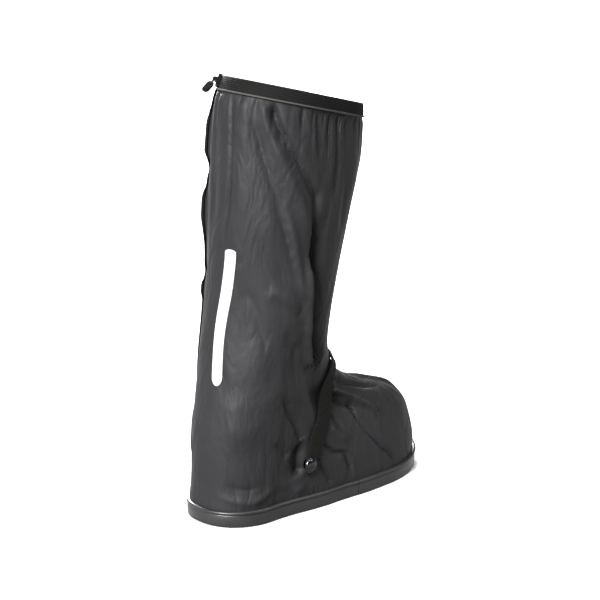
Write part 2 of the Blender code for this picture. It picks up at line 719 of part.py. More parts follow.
def build_pull(matrix, pin_height, mat):
    """The pull tab: a knuckle round the pin, a short neck and a flat grip that hangs a little turned."""
    hinge = bpy.data.objects.new("zip_pull_hinge", None)
    bpy.context.scene.collection.objects.link(hinge)
    turn = Matrix.Rotation(-math.radians(TAB_REST_DEG), 4, "X")
    hinge.matrix_world = matrix @ Matrix.Translation((0, 0, pin_height)) @ turn
    bore = PIN_RADIUS + PIN_CLEARANCE
    ring = bore + KNUCKLE_WALL
    half = KNUCKLE_WIDTH / 2
    count = 14
    outer = np.array([[(x, a, b) for a, b in circle(ring, count)] for x in (-half, half)])
    inner = np.array([[(x, a, b) for a, b in circle(bore, count)] for x in (-half, half)])
    knuckle = between("zip_pull", outer, inner, mat, closed=True)
    root = -(bore + KNUCKLE_WALL / 3)
    slim = half * 0.8
    thick = TAB_THICKNESS / 2
    neck = prism("pull_neck", [(-slim, root), (slim, root), (slim / 2, -NECK_LENGTH - thick),
                               (-slim / 2, -NECK_LENGTH - thick)], -thick, thick, "Z", mat)
    wide = TAB_WIDTH / 2
    corner = TAB_WIDTH / 4
    top = -NECK_LENGTH
    foot = -TAB_LENGTH
    grip = prism("pull_grip", [(-wide + corner, top), (-wide, top - corner), (-wide, foot + corner),
                               (-wide + corner, foot), (wide - corner, foot), (wide, foot + corner),
                               (wide, top - corner), (wide - corner, top)], -thick, thick, "Z", mat)
    grip.matrix_world = Matrix.Rotation(math.radians(TAB_TWIST_DEG), 4, "Y")
    for piece in (neck, grip):
        piece.parent = hinge
        hide_as_guide(piece)
        boolean(knuckle, piece, "UNION")
    knuckle.parent = hinge


# Half the instep strap's route, from the outer snap to the front of the ankle, as shares of the
# instep's height and girths. The inner half is its mirror image.
STRAP_HALF_ROUTE = ((0.28, -0.640), (0.39, -0.634), (0.48, -0.619), (0.56, -0.597), (0.65, -0.557),
                    (0.72, -0.489), (0.785, -0.385), (0.855, -0.318), (0.93, -0.270), (1.01, -0.228),
                    (1.07, -0.150), (1.10, 0.0))
STRAP_ROUTE = STRAP_HALF_ROUTE + tuple((share, -girth) for share, girth in STRAP_HALF_ROUTE[-2::-1])
STRAP_SLACK = 0.0014
STRAP_HOLD_SHARE = 0.065
STRAP_LIFT_SHARE = 0.10


def strap_outs(count):
    """How far the strap's underside stands off the wall: clear of the studs at its two ends."""
    s = np.linspace(0, 1, count)
    end = 1 - ease((np.minimum(s, 1 - s) - STRAP_HOLD_SHARE) / STRAP_LIFT_SHARE)
    high = 2 * GAP + STUD_THICKNESS
    return STRAP_SLACK + (high - STRAP_SLACK) * end


def build_strap(mat):
    count = STRAP_STEPS
    path = wall_path(STRAP_ROUTE, INSTEP_HEIGHT, count)
    half = np.full(count, STRAP_WIDTH / 2)
    half[0] = half[-1] = STRAP_WIDTH / 3
    outs = strap_outs(count)
    outer = ribbon(path, -half, half, outs + STRAP_THICKNESS, 4)
    inner = ribbon(path, -half, half, outs, 4)
    between("instep_strap", outer, inner, mat)


SNAP_SHARE = 0.035


def snap_matrix(at_start):
    """The frame of one snap: Z outward through the strap's end."""
    path = wall_path(STRAP_ROUTE, INSTEP_HEIGHT, 201)
    k = round(SNAP_SHARE * 200)
    level, girth = path[k] if at_start else path[-1 - k]
    point, along, _, normal = frame_at(level, np.array(girth))
    out = Vector(normal)
    up = Vector(along).normalized()
    across = up.cross(out).normalized()
    up = out.cross(across)
    matrix = Matrix((across, up, out)).transposed().to_4x4()
    matrix.translation = Vector(point)
    return matrix


def turned(name, profile, count, matrix, mat):
    """A round piece about Z from (radius, height) pairs that start and end on the axis."""
    points = []
    rings = []
    for radius, height in profile:
        if radius == 0.0:
            rings.append([len(points)])
            points.append((0.0, 0.0, height))
        else:
            rings.append(list(range(len(points), len(points) + count)))
            points += [(x, y, height) for x, y in circle(radius, count)]
    faces = []
    for a, b in zip(rings, rings[1:]):
        for i in range(count):
            j = (i + 1) % count
            if len(a) == 1:
                faces.append((a[0], b[i], b[j]))
            elif len(b) == 1:
                faces.append((a[i], b[0], a[j]))
            else:
                faces.append((a[i], b[i], b[j], a[j]))
    obj = add_object(name, mesh_from(name, points, faces), mat)
    obj.matrix_world = matrix
    return obj


def build_snaps(cap_mat, stud_mat):
    for name, at_start in (("lateral", True), ("medial", False)):
        matrix = snap_matrix(at_start)
        bow = STUD_RADIUS ** 2 / (2 * HEEL_HALF)
        turned("snap_stud_" + name, ((0.0, GAP), (STUD_RADIUS, GAP), (STUD_RADIUS, STUD_THICKNESS * 0.6),
                                     (STUD_RADIUS * 0.8, STUD_THICKNESS - bow),
                                     (0.0, STUD_THICKNESS - bow)), 16, matrix, stud_mat)
        base = 3 * GAP + STUD_THICKNESS + STRAP_THICKNESS
        turned("snap_cap_" + name, ((0.0, base), (CAP_RADIUS, base), (CAP_RADIUS, base + CAP_RIM),
                                    (CAP_RADIUS * 0.86, base + CAP_RIM + CAP_DOME * 0.45),
                                    (CAP_RADIUS * 0.55, base + CAP_RIM + CAP_DOME * 0.85),
                                    (0.0, base + CAP_RIM + CAP_DOME)), 20, matrix, cap_mat)


# The bright strip's route up the outer rear of the shaft, as shares of its height and girths.
STRIP_ROUTE = ((0.319, -0.977), (0.388, -0.988), (0.432, -0.991), (0.475, -0.987), (0.528, -0.977),
               (0.592, -0.968), (0.628, -0.966))


def build_strip(mat):
    count = 22
    path = wall_path(STRIP_ROUTE, SHAFT_HEIGHT, count)
    s = np.linspace(0, 1, count)
    end = np.minimum(s, 1 - s) * (count - 1)
    half = STRIP_WIDTH / 2 * np.where(end < 0.5, 0.45, np.where(end < 1.5, 0.92, 1.0))
    outer = ribbon(path, -half, half, np.full(count, LAY_GAP + REFLECTOR_THICKNESS), 3)
    inner = ribbon(path, -half, half, np.full(count, LAY_GAP), 3)
    between("reflective_strip", outer, inner, mat)


TRIANGLE_GIRTH = 0.855


def triangle_sheet(width, height, foot, out, count):
    """A triangle's sheet: rows from its base up to its blunt tip."""
    path = wall_path([(foot / height + k / 2, TRIANGLE_GIRTH) for k in range(3)], height, count)
    half = width / 2 * (1 - np.linspace(0, 1, count) * 0.97)
    return ribbon(path, -half, half, np.full(count, out), 8)


def build_triangle(border_mat, bright_mat):
    count = 8
    rim = TRIANGLE_BORDER
    low = LAY_GAP
    top = low + REFLECTOR_THICKNESS
    between("heel_reflector_border",
            triangle_sheet(TRIANGLE_WIDTH + 4 * rim, TRIANGLE_HEIGHT + 4 * rim, TRIANGLE_FOOT - rim, top, count),
            triangle_sheet(TRIANGLE_WIDTH + 4 * rim, TRIANGLE_HEIGHT + 4 * rim, TRIANGLE_FOOT - rim, low, count),
            border_mat)
    low = top + GAP
    top = low + REFLECTOR_THICKNESS
    between("heel_reflector",
            triangle_sheet(TRIANGLE_WIDTH, TRIANGLE_HEIGHT, TRIANGLE_FOOT, top, count),
            triangle_sheet(TRIANGLE_WIDTH, TRIANGLE_HEIGHT, TRIANGLE_FOOT, low, count),
            bright_mat)


def smooth_shade():
    for obj in bpy.context.scene.objects:
        if obj.type == "MESH":
            obj.data.shade_smooth()
            obj.data.set_sharp_from_angle(angle=math.radians(35))


for old in list(bpy.data.objects):
    bpy.data.objects.remove(old)
coated_fabric = material("coated fabric", (0.050, 0.050, 0.052), 0.42)
sole_rubber = material("moulded sole rubber", (0.030, 0.030, 0.031), 0.60)
band_rubber = material("rubber band", (0.052, 0.052, 0.053), 0.48)
insole_board = material("insole fabric", (0.040, 0.040, 0.042), 0.85)
webbing = material("polyester webbing", (0.018, 0.018, 0.019), 0.80)
elastic = material("folded elastic", (0.016, 0.016, 0.016), 0.85)
zip_fabric = material("zip tape", (0.012, 0.012, 0.012), 0.85)
zip_nylon = material("nylon coil", (0.015, 0.015, 0.016), 0.40)
placket_fabric = material("placket fabric", (0.028, 0.028, 0.030), 0.45)
dark_metal = material("blackened metal", (0.060, 0.060, 0.065), 0.28, 1.0)
bright_film = material("reflective film", (0.78, 0.78, 0.78), 0.45)
silver_film = material("silver reflective film", (0.42, 0.42, 0.44), 0.40)
black_film = material("black print film", (0.008, 0.008, 0.008), 0.50)

build_outsole(sole_rubber)
build_insole(insole_board)
build_upper(coated_fabric)
SPLIT = GAP / 2 / BALL_HALF
build_foxing("foxing_toe", -TOE_JOINT + SPLIT, TOE_JOINT - SPLIT, TOE_RELIEF, band_rubber)
build_foxing("foxing_rear", TOE_JOINT + SPLIT, ONCE_ROUND - TOE_JOINT - SPLIT, 0.0, band_rubber)
build_binding(elastic)
build_zip(zip_fabric, zip_nylon, placket_fabric)
slider_matrix, slider_pin_height = build_slider(dark_metal)
build_pull(slider_matrix, slider_pin_height, dark_metal)
build_strap(webbing)
build_snaps(dark_metal, dark_metal)
build_strip(bright_film)
build_triangle(black_film, silver_film)
smooth_shade()
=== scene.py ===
# Rain overshoe for the right foot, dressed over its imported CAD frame.
# Metres throughout: +Z up, toe towards +X, inner side of the foot towards +Y.
import math

import bpy
import bmesh
import numpy as np
from mathutils import Matrix, Vector


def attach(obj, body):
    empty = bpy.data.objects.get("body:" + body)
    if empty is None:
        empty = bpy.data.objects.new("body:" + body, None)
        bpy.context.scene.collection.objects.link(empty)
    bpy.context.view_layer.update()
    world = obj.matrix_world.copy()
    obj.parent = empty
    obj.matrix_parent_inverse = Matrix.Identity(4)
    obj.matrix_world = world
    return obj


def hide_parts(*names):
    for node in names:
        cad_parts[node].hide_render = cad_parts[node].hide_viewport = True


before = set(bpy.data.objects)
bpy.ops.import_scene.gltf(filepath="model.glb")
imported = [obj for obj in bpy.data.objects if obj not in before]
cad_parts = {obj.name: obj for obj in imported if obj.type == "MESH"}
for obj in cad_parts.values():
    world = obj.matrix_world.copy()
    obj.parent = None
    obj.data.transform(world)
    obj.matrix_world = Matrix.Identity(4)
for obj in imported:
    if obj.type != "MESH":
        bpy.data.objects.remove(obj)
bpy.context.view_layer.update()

# CAMERA
# A long lens a little over a metre away, level with the rim of the shaft and looking down at it,
# from behind the shoe's outer side.
EYE = Vector((-0.7174, -0.7993, 0.4164))
VIEW_TURN = math.radians(44.70)
VIEW_DOWN = math.radians(10.86)
LENS_MM, SENSOR_MM = 68.8, 36.0

camera_data = bpy.data.cameras.new("camera")
camera_data.lens = LENS_MM
camera_data.sensor_width = SENSOR_MM
camera = bpy.data.objects.new("camera", camera_data)
bpy.context.scene.collection.objects.link(camera)
looking = Vector((math.cos(VIEW_TURN) * math.cos(VIEW_DOWN), math.sin(VIEW_TURN) * math.cos(VIEW_DOWN),
                  -math.sin(VIEW_DOWN)))
camera.rotation_euler = looking.to_track_quat("-Z", "Y").to_euler()
camera.location = EYE
bpy.context.scene.camera = camera

# FLOOR AND STUDIO LIGHT
# A pale floor and room, lit so strongly that they come out white, as for a catalogue picture: a big
# soft key light from the left of the camera, a weaker one from the far side, and a little from the toe
# and from above. The colours of the pieces are set for this light.


def linear(code):
    """An sRGB hex colour as linear red, green, blue and alpha."""
    parts = [int(code[i:i + 2], 16) / 255 for i in (1, 3, 5)]
    return tuple(c / 12.92 if c <= 0.04045 else ((c + 0.055) / 1.055) ** 2.4 for c in parts) + (1.0,)


def node(tree, kind, inputs=None, **settings):
    """Adds one shader node with its settings, and the value or the link of each of its inputs."""
    new = tree.nodes.new("ShaderNode" + kind)
    for key, value in settings.items():
        setattr(new, key, value)
    for key, value in (inputs or {}).items():
        if isinstance(value, bpy.types.NodeSocket):
            tree.links.new(value, new.inputs[key])
        else:
            new.inputs[key].default_value = value
    return new


def surface_finish(name, **sockets):
    """A new material, the tree of its nodes, and its one shader with these plain values."""
    made = bpy.data.materials.new(name)
    made.use_nodes = True
    shader = made.node_tree.nodes["Principled BSDF"]
    for key, value in sockets.items():
        shader.inputs[key.replace("_", " ")].default_value = value
    return made, made.node_tree, shader


FLOOR_SIZE = 60.0
# Just clear of the sole, so that the two don't flicker into each other
FLOOR_DROP = 0.0004
FLOOR_COLOUR = "#929292"
ROOM_COLOUR = "#ffffff"

floor_mesh = bpy.data.meshes.new("floor")
half = FLOOR_SIZE / 2
floor_mesh.from_pydata([(-half, -half, 0), (half, -half, 0), (half, half, 0), (-half, half, 0)], [],
                       [(0, 1, 2, 3)])
floor = bpy.data.objects.new("floor", floor_mesh)
floor.location = (0, 0, -FLOOR_DROP)
bpy.context.scene.collection.objects.link(floor)
# Matt studio paper
paper, _, _ = surface_finish("studio paper", Base_Color=linear(FLOOR_COLOUR), Roughness=0.9)
floor_mesh.materials.append(paper)

# The room's walls are bright to a little above the horizon and its ceiling is dim, so that the
# folds keep their shade. A direction's height is 0 at the horizon and 1 overhead.
WALL_LIGHT, CEILING_LIGHT = 1.0, 0.10
WALL_TOP, CEILING_EDGE = 0.08, 0.20
world = bpy.data.worlds.new("white room")
world.use_nodes = True
tree = world.node_tree
sky = node(tree, "TexCoord")
upward = node(tree, "SeparateXYZ", {"Vector": sky.outputs["Generated"]})
level_light = node(tree, "MapRange", {
    "Value": upward.outputs["Z"], "From Min": WALL_TOP, "From Max": CEILING_EDGE,
    "To Min": WALL_LIGHT, "To Max": CEILING_LIGHT})
backdrop = tree.nodes["Background"]
backdrop.inputs["Color"].default_value = linear(ROOM_COLOUR)
tree.links.new(level_light.outputs["Result"], backdrop.inputs["Strength"])
bpy.context.scene.world = world
# A photographer's curve: a little more light, and deeper darks.
EXPOSURE, GAMMA = 0.74, 0.76
bpy.context.scene.view_settings.view_transform = "Standard"
bpy.context.scene.view_settings.exposure = EXPOSURE
bpy.context.scene.view_settings.gamma = GAMMA

# Each lamp's name, where it shines from, how wide it looks in degrees, and its strength
LAMPS = (("key_light", (-0.97, -0.24, 0.62), 30.0, 11.5),
         ("toe_light", (0.50, -0.70, 0.80), 30.0, 1.5),
         ("back_light", (0.50, 0.90, 0.62), 40.0, 7.5),
         ("top_light", (-0.20, -0.30, 1.00), 40.0, 1.8))
for name, toward, softness, power in LAMPS:
    lamp_data = bpy.data.lights.new(name, "SUN")
    lamp_data.angle = math.radians(softness)
    lamp_data.energy = power
    lamp = bpy.data.objects.new(name, lamp_data)
    lamp.location = Vector(toward) * 2
    lamp.rotation_euler = (-Vector(toward)).to_track_quat("-Z", "Y").to_euler()
    bpy.context.scene.collection.objects.link(lamp)

# UPPER
# One tube of coated polyester cloth, glued under the rubber band at its foot and gathered into an
# elastic binding at its top. It is soft: it stands in long hanging folds, pinched where the strap draws
# it in over the ankle.

# The sizes of the last that the cloth stands as if pulled over, the same as the CAD solids'
SOLE_LENGTH = 0.302
HEEL_CENTRE = 0.046
HEEL_HALF = 0.0462
WAIST_HALF = 0.0542
BALL_HALF = 0.0582
TOE_SWING = 0.007
ARCH_INSET = 0.012
TOE_SPRING = 0.008
SPRING_START = 0.76
# How high the cloth starts, and how far it stands in from the sole's two ends
SEAT = 0.0068
EDGE = 0.0023
INSTEP_HEIGHT = 0.130
SHAFT_HEIGHT = 0.417
SHAFT_DEPTH = 0.154
SHAFT_HALF = 0.060
WALL = 0.0012
FRONT_END = 8 / 22
SIDE_END = 16 / 22
HEEL_SHARE, WAIST_SHARE, BALL_SHARE = 0.18, 0.42, 0.62
ARCH_SPREAD = 0.13
SWING_POWER = 5
# Each row is one section: lift at the back and at the front, back, front, heel, waist and ball widths,
# how long and how square the round ends are, how late the line climbs, the toe's swing and arch, and
# the section's slope up to the inner side.
FOOT_ROWS = (
    (0.000, 0.000, 0.000, 1.000, 1.000, 1.000, 1.000, 0.17, 0.31, 2.20, 2.10, 6.0, 1.00, 1.00, 0.0),
    (0.083, 0.083, 0.000, 1.000, 1.000, 1.000, 1.000, 0.17, 0.31, 2.20, 2.10, 6.0, 1.00, 1.00, 0.0),
    (0.189, 0.222, 0.006, 0.998, 1.010, 1.005, 0.990, 0.18, 0.31, 2.20, 2.10, 4.0, 1.00, 0.90, 0.0),
    (0.302, 0.376, 0.009, 0.984, 1.020, 1.000, 0.965, 0.19, 0.32, 2.20, 2.10, 3.0, 1.00, 0.70, 0.0),
    (0.400, 0.530, 0.010, 0.957, 1.030, 0.985, 0.895, 0.20, 0.33, 2.20, 2.20, 2.0, 1.00, 0.50, 0.0),
    (0.498, 0.655, 0.011, 0.900, 1.040, 0.970, 0.795, 0.22, 0.34, 2.20, 2.20, 1.6, 0.86, 0.30, 0.0),
    (0.595, 0.730, 0.014, 0.822, 1.050, 0.960, 0.700, 0.24, 0.36, 2.20, 2.20, 1.4, 0.71, 0.15, 0.0),
    (0.693, 0.795, 0.019, 0.735, 1.070, 0.950, 0.610, 0.27, 0.38, 2.20, 2.10, 1.2, 0.57, 0.00, 0.0),
    (0.798, 0.875, 0.028, 0.648, 1.095, 0.950, 0.610, 0.30, 0.40, 2.10, 2.10, 1.1, 0.29, 0.00, 0.0),
    (0.920, 1.000, 0.040, 0.574, 1.135, 0.975, 0.680, 0.34, 0.42, 2.10, 2.10, 1.0, 0.14, 0.00, 0.0),
)
SHAFT_ROWS = (
    (0.0535, 0.099, 0.056, 0.912, 0.900, 0.880, 0.765, 0.38, 0.42, 2.05, 2.00, 1.0, 0.0, 0.0, 0.00),
    (0.1950, 0.230, 0.078, 0.862, 0.945, 0.945, 0.865, 0.42, 0.42, 2.00, 2.00, 1.0, 0.0, 0.0, 0.00),
    (0.3720, 0.373, 0.096, 0.880, 0.980, 0.980, 0.935, 0.42, 0.42, 2.00, 2.00, 1.0, 0.0, 0.0, 0.00),
    (0.5680, 0.533, 0.106, 0.955, 1.010, 1.010, 0.985, 0.42, 0.42, 2.00, 2.00, 1.0, 0.0, 0.0, 0.00),
    (0.7620, 0.697, 0.121, 1.020, 1.015, 1.015, 1.000, 0.42, 0.42, 2.00, 2.00, 1.0, 0.0, 0.0, 0.04),
    (0.9220, 0.848, 0.141, 1.015, 0.985, 0.985, 0.970, 0.42, 0.42, 2.00, 2.00, 1.0, 0.0, 0.0, 0.11),
    (1.0000, 0.925, 0.174, 0.957, 0.930, 0.930, 0.930, 0.42, 0.42, 2.00, 2.00, 1.0, 0.0, 0.0, 0.13),
)
LAST_ROW = len(FOOT_ROWS) + len(SHAFT_ROWS) - 1
# The levels between which girths pass from shares of the outline to even lengths of wall
EVEN_FROM, EVEN_TO = 4.0, 9.5


def ease(s):
    """Rises smoothly from 0 to 1, level at both ends."""
    s = np.clip(s, 0.0, 1.0)
    return s * s * (3 - 2 * s)


def sole_line(x):
    """Height of the sole's underside above the floor: flat, then rising to the toe."""
    toe = SOLE_LENGTH - HEEL_CENTRE
    start = SPRING_START * SOLE_LENGTH - HEEL_CENTRE
    return TOE_SPRING * (np.clip((x - start) / (toe - start), 0.0, 1.1)) ** 2


def section_table():
    """The rows in metres."""
    length = SOLE_LENGTH - 2 * EDGE
    rows = []
    for r in FOOT_ROWS:
        rise = INSTEP_HEIGHT - SEAT
        rows.append((SEAT + rise * r[0], SEAT + rise * r[1], EDGE + length * r[2], EDGE + length * r[3],
                     HEEL_HALF * r[4], WAIST_HALF * r[5], BALL_HALF * r[6]) + r[7:12]
                    + (TOE_SWING * r[12], ARCH_INSET * r[13], r[14]))
    for r in SHAFT_ROWS:
        rise = SHAFT_HEIGHT - INSTEP_HEIGHT
        back = EDGE + length * r[2]
        rows.append((INSTEP_HEIGHT + rise * r[0], INSTEP_HEIGHT + rise * r[1], back,
                     back + SHAFT_DEPTH * r[3], SHAFT_HALF * r[4], SHAFT_HALF * r[5], SHAFT_HALF * r[6])
                    + r[7:12] + (0.0, 0.0, r[14]))
    return np.array(rows)


TABLE = section_table()


def through_rows(rows, place):
    """A smooth curve through evenly spaced rows, read at these places, which count rows."""
    ends = np.vstack([2 * rows[0] - rows[1], rows, 2 * rows[-1] - rows[-2]])
    low = np.minimum(place.astype(int), len(rows) - 2)
    f = (place - low)[..., None]
    a, b, c, d = (ends[low + k] for k in range(4))
    return 0.5 * (2 * b + (c - a) * f + (2 * a - 5 * b + 4 * c - d) * f ** 2
                  + (3 * b - a - 3 * c + d) * f ** 3)


def bare_surface(level, girth):
    """A point on the outside of the smooth wall. girth is 0 at the front, 1 or -1 at the back,
    positive on the inner side."""
    level, girth = np.broadcast_arrays(np.asarray(level, float), np.asarray(girth, float))
    girth = (girth + 1.0) % 2.0 - 1.0
    side = np.where(girth >= 0, 1.0, -1.0)
    g = np.abs(girth)
    (low_back, low_front, back, front, heel, waist, ball, cap_back, cap_front, round_back, round_front,
     climb, swing, arch, roll) = np.moveaxis(through_rows(TABLE, np.clip(level, 0.0, LAST_ROW)), -1, 0)
    # Round ends join straight sides: t runs from 0 at the back to 1 at the front.
    ahead, behind = g < FRONT_END, g > SIDE_END
    turn = np.where(ahead, g / FRONT_END, np.where(behind, (1 - g) / (1 - SIDE_END), 0.0)) * math.pi / 2
    power = 2 / np.where(ahead, round_front, round_back)
    along = np.abs(np.cos(turn)) ** power
    across = np.where(ahead | behind, np.abs(np.sin(turn)) ** power, 1.0)
    q = (g - FRONT_END) / (SIDE_END - FRONT_END)
    t = np.where(ahead, 1 - cap_front * (1 - along),
                 np.where(behind, cap_back * (1 - along), (1 - cap_front) * (1 - q) + cap_back * q))
    first = ease((t - HEEL_SHARE) / (WAIST_SHARE - HEEL_SHARE))
    second = ease((t - WAIST_SHARE) / (BALL_SHARE - WAIST_SHARE))
    wide = heel + (waist - heel) * first + (ball - waist) * second
    inset = arch * np.exp(-((t - WAIST_SHARE) / ARCH_SPREAD) ** 2)
    wide = np.where(side > 0, wide - inset, wide)
    x = back + (front - back) * t - HEEL_CENTRE
    y = side * wide * across + swing * t ** SWING_POWER
    z = low_back + (low_front - low_back) * t ** climb + roll * y + sole_line(x)
    return np.stack([x, y, z], -1)


SLOPE_STEP = 1e-3


def wall_frame(level, girth):
    """Point, outward normal, slope along the level and slope along the girth of the smooth wall."""
    step = SLOPE_STEP
    level, girth = np.broadcast_arrays(np.asarray(level, float), np.asarray(girth, float))
    up = np.clip(level + step, 0, LAST_ROW)
    down = np.clip(level - step, 0, LAST_ROW)
    along = (bare_surface(up, girth) - bare_surface(down, girth)) / (up - down)[..., None]
    round_ = (bare_surface(level, girth + step) - bare_surface(level, girth - step)) / (2 * step)
    normal = np.cross(round_, along)
    normal /= np.linalg.norm(normal, axis=-1, keepdims=True)
    return bare_surface(level, girth), normal, along, round_


HALVINGS = 34


def level_at(height, girth):
    """The level at which the wall has this height at this girth."""
    height, girth = np.broadcast_arrays(np.asarray(height, float), np.asarray(girth, float))
    low = np.zeros(height.shape)
    high = np.full(height.shape, float(LAST_ROW))
    for _ in range(HALVINGS):
        middle = (low + high) / 2
        under = bare_surface(middle, girth)[..., 2] < height
        low = np.where(under, middle, low)
        high = np.where(under, high, middle)
    return (low + high) / 2


def smooth_line(points, shares):
    """A smooth curve through given points, read at these shares of the way along it."""
    return through_rows(np.array(points, float), np.asarray(shares) * (len(points) - 1))


# The folds, each listed: its line as heights in millimetres and girths, its half width and how far
# its middle stands out (or in, where that is below nothing) in millimetres, how much higher its front
# flank stands than its back one, and the shares of its length over which it fades in and out.
FOLDS = (
    # Outer side of the shaft, from the back round to the front
    (((408, -1.00), (376, -.987), (323, -.982), (298, -.987), (275, -.996), (245, -1.005)), 3, -1.6, -1,
     .02, .3),
    (((403, -.950), (367, -.941), (331, -.939), (294, -.941), (257, -.946)), 11, 2, 0, .1, .4),
    (((400, -.893), (382, -.882), (362, -.858), (340, -.830), (320, -.802), (302, -.772), (280, -.740),
      (254, -.700)), 5.5, 3.4, -1, .08, .25),
    (((386, -.925), (368, -.908), (349, -.889), (326, -.864), (302, -.838), (271, -.806), (240, -.772),
      (219, -.745)), 5, -3.2, 0, .15, .2),
    (((300, -.815), (276, -.790), (247, -.765), (223, -.740), (205, -.700)), 5, 3, -1, .3, .25),
    (((400, -.872), (383, -.862), (369, -.842), (358, -.822), (344, -.795), (330, -.768), (314, -.736),
      (297, -.690), (278, -.625), (258, -.545)), 5.5, -6, 1, .1, .1),
    (((370, -.868), (361, -.845), (370, -.825)), 4, -2, 0, .3, .3),
    (((396, -.800), (380, -.792), (366, -.785)), 4, -2.4, 0, .05, .5),
    (((396, -.756), (367, -.746), (339, -.735)), 4, -3, -.8, .05, .4),
    (((394, -.640), (370, -.625), (345, -.600)), 4.5, -2.4, 0, .05, .4),
    (((394, -.490), (361, -.426), (328, -.384), (295, -.348)), 5, -3.2, .8, .05, .3),
    (((390, -.350), (309, -.309), (260, -.284)), 7, -2.2, 0, .1, .4),
    (((280, -.905), (256, -.861), (239, -.815), (222, -.762)), 6, -2, 0, .5, .4),
    (((210, -.857), (221, -.841), (216, -.808), (206, -.762), (202, -.739)), 6, 1.8, .8, .4, .4),
    (((229, -.941), (212, -.891), (184, -.854), (155, -.822)), 8, -2, 0, .3, .4),
    (((192, -.797), (171, -.749), (140, -.640), (119, -.585)), 7, -2.6, 0, .3, .3),
    (((262, -.740), (240, -.690), (215, -.615), (190, -.525), (165, -.435), (140, -.350)), 6, 7.5, -4,
     .3, .1),
    (((300, -.670), (262, -.590), (240, -.540), (215, -.475), (190, -.400), (165, -.335), (142, -.280)),
     8, -20, 0, .25, .08),
    (((250, -.920), (205, -.930), (160, -.940)), 12, -2, 0, .4, .4),
    # Heel and snap on the outer side
    (((128, -.765), (108, -.719), (91, -.668), (72, -.655)), 4.5, -3.6, -.9, .3, .05),
    (((78, -.758), (69, -.732), (60, -.700)), 5, -2.4, 0, .4, .1),
    (((34, -.987), (28, -.920), (24, -.852), (23, -.801), (29, -.756), (37, -.722)), 4, 1.8, 0, .5, .3),
    (((42, -.930), (38, -.880), (35, -.830), (38, -.770)), 5, -1.8, 0, .5, .3),
    (((127, -.936), (100, -.886), (70, -.843)), 12, 2.2, 0, .3, .4),
    (((76, -.645), (62, -.662), (52, -.668), (44, -.665), (37, -.657)), 6.5, -9.5, 0, .3, .2),
    (((30, -.640), (24, -.655), (20, -.670)), 6, 2, 0, .4, .4),
    # Outer side of the forefoot
    (((110, -.295), (106, -.301), (97, -.307), (89, -.318), (80, -.324), (70, -.336)), 3.5, 6, 1.5,
     .1, .25),
    (((104, -.330), (96, -.345), (90, -.345), (82, -.345)), 4, -5.2, 0, .1, .35),
    (((96, -.318), (88, -.352), (74, -.400), (59, -.398), (41, -.375), (20, -.332)), 2.5, -2.6, -1.5,
     .1, .05),
    (((64, -.575), (60, -.562), (52, -.540), (48, -.505), (33, -.494), (15, -.480)), 3, -2.8, 1.2, .1, .25),
    (((52, -.605), (40, -.592), (27, -.568), (16, -.550)), 3, -2.8, .8, .1, .3),
    (((95, -.425), (91, -.438), (82, -.460), (70, -.470)), 3.5, -3, .8, .1, .4),
    (((80, -.520), (66, -.500), (58, -.470)), 4, 2.6, 0, .2, .4),
    (((112, -.02), (104, -.03), (97, -.04), (90, -.05), (76, -.06)), 5, 3, 0, .3, .4),
    (((121, -.220), (108, -.180), (100, -.170), (94, -.150)), 4, -3, .8, .1, .4),
    # Front of the shaft and of the ankle
    (((392, .050), (360, .030), (320, .045), (290, .020)), 9, -2.4, 0, .1, .4),
    (((385, -.130), (350, -.150), (315, -.130)), 8, 1.8, 0, .2, .4),
    (((200, .080), (182, .000), (176, -.090)), 7, -3.2, 0, .4, .4),
    (((168, -.110), (160, .000), (166, .120)), 6, 2.6, 0, .3, .3),
    # Inner side: the shaft between the front and the zip, and the forefoot
    (((402, .300), (372, .330), (330, .315), (285, .285)), 6, -3.6, .9, .05, .4),
    (((403, .450), (380, .470), (345, .520), (300, .540), (255, .500)), 7, -6.4, -1.5, .05, .25),
    (((260, .490), (225, .420), (190, .360), (155, .300), (132, .265)), 10, -8.8, 0, .25, .15),
    (((402, .660), (360, .690), (310, .680), (262, .640), (228, .590)), 7, -4.8, 1.5, .05, .3),
    (((380, .780), (330, .775), (270, .755), (210, .715), (160, .670), (125, .640)), 6, 3.2, .8, .2, .3),
    (((230, .640), (200, .560), (172, .470), (146, .380)), 8, 3.2, 0, .3, .3),
    (((150, .640), (112, .600), (84, .590), (66, .600)), 5, -3.6, 0, .3, .1),
    (((66, .640), (57, .645), (46, .640), (38, .625)), 6, -4.7, 0, .25, .3),
    (((106, .300), (94, .330), (80, .345), (66, .350)), 4, 4.8, -1.1, .1, .3),
    (((98, .360), (86, .385), (70, .400), (48, .385), (28, .350)), 4, -4, .9, .1, .3),
    (((62, .550), (50, .510), (36, .480), (22, .460)), 4, -3.6, 0, .1, .3),
    (((30, .870), (26, .830), (25, .800), (31, .750)), 4, 1.8, 0, .4, .3),
    (((46, .860), (40, .820), (42, .760)), 5, -1.8, 0, .4, .3),
    # Back: the zip's stiff edge stands out in two long waves, with pinches between them
    (((402, .852), (378, .852), (356, .851), (338, .849)), 7.5, 5.2, 0, .40, .20),
    (((322, .847), (300, .845), (280, .843), (246, .838)), 8, 5.2, 0, .30, .45),
    (((226, .836), (216, .835), (205, .833)), 6, 2.8, 0, .3, .3),
    (((346, .900), (334, .872), (327, .830)), 5, -2.2, 0, .2, .2),
    (((246, .900), (236, .870), (229, .830)), 5, -2, 0, .2, .3),
    (((392, .940), (350, .945), (300, .945), (262, .940)), 9, -1.8, .5, .2, .4),
)
FOLD_STEPS = 40


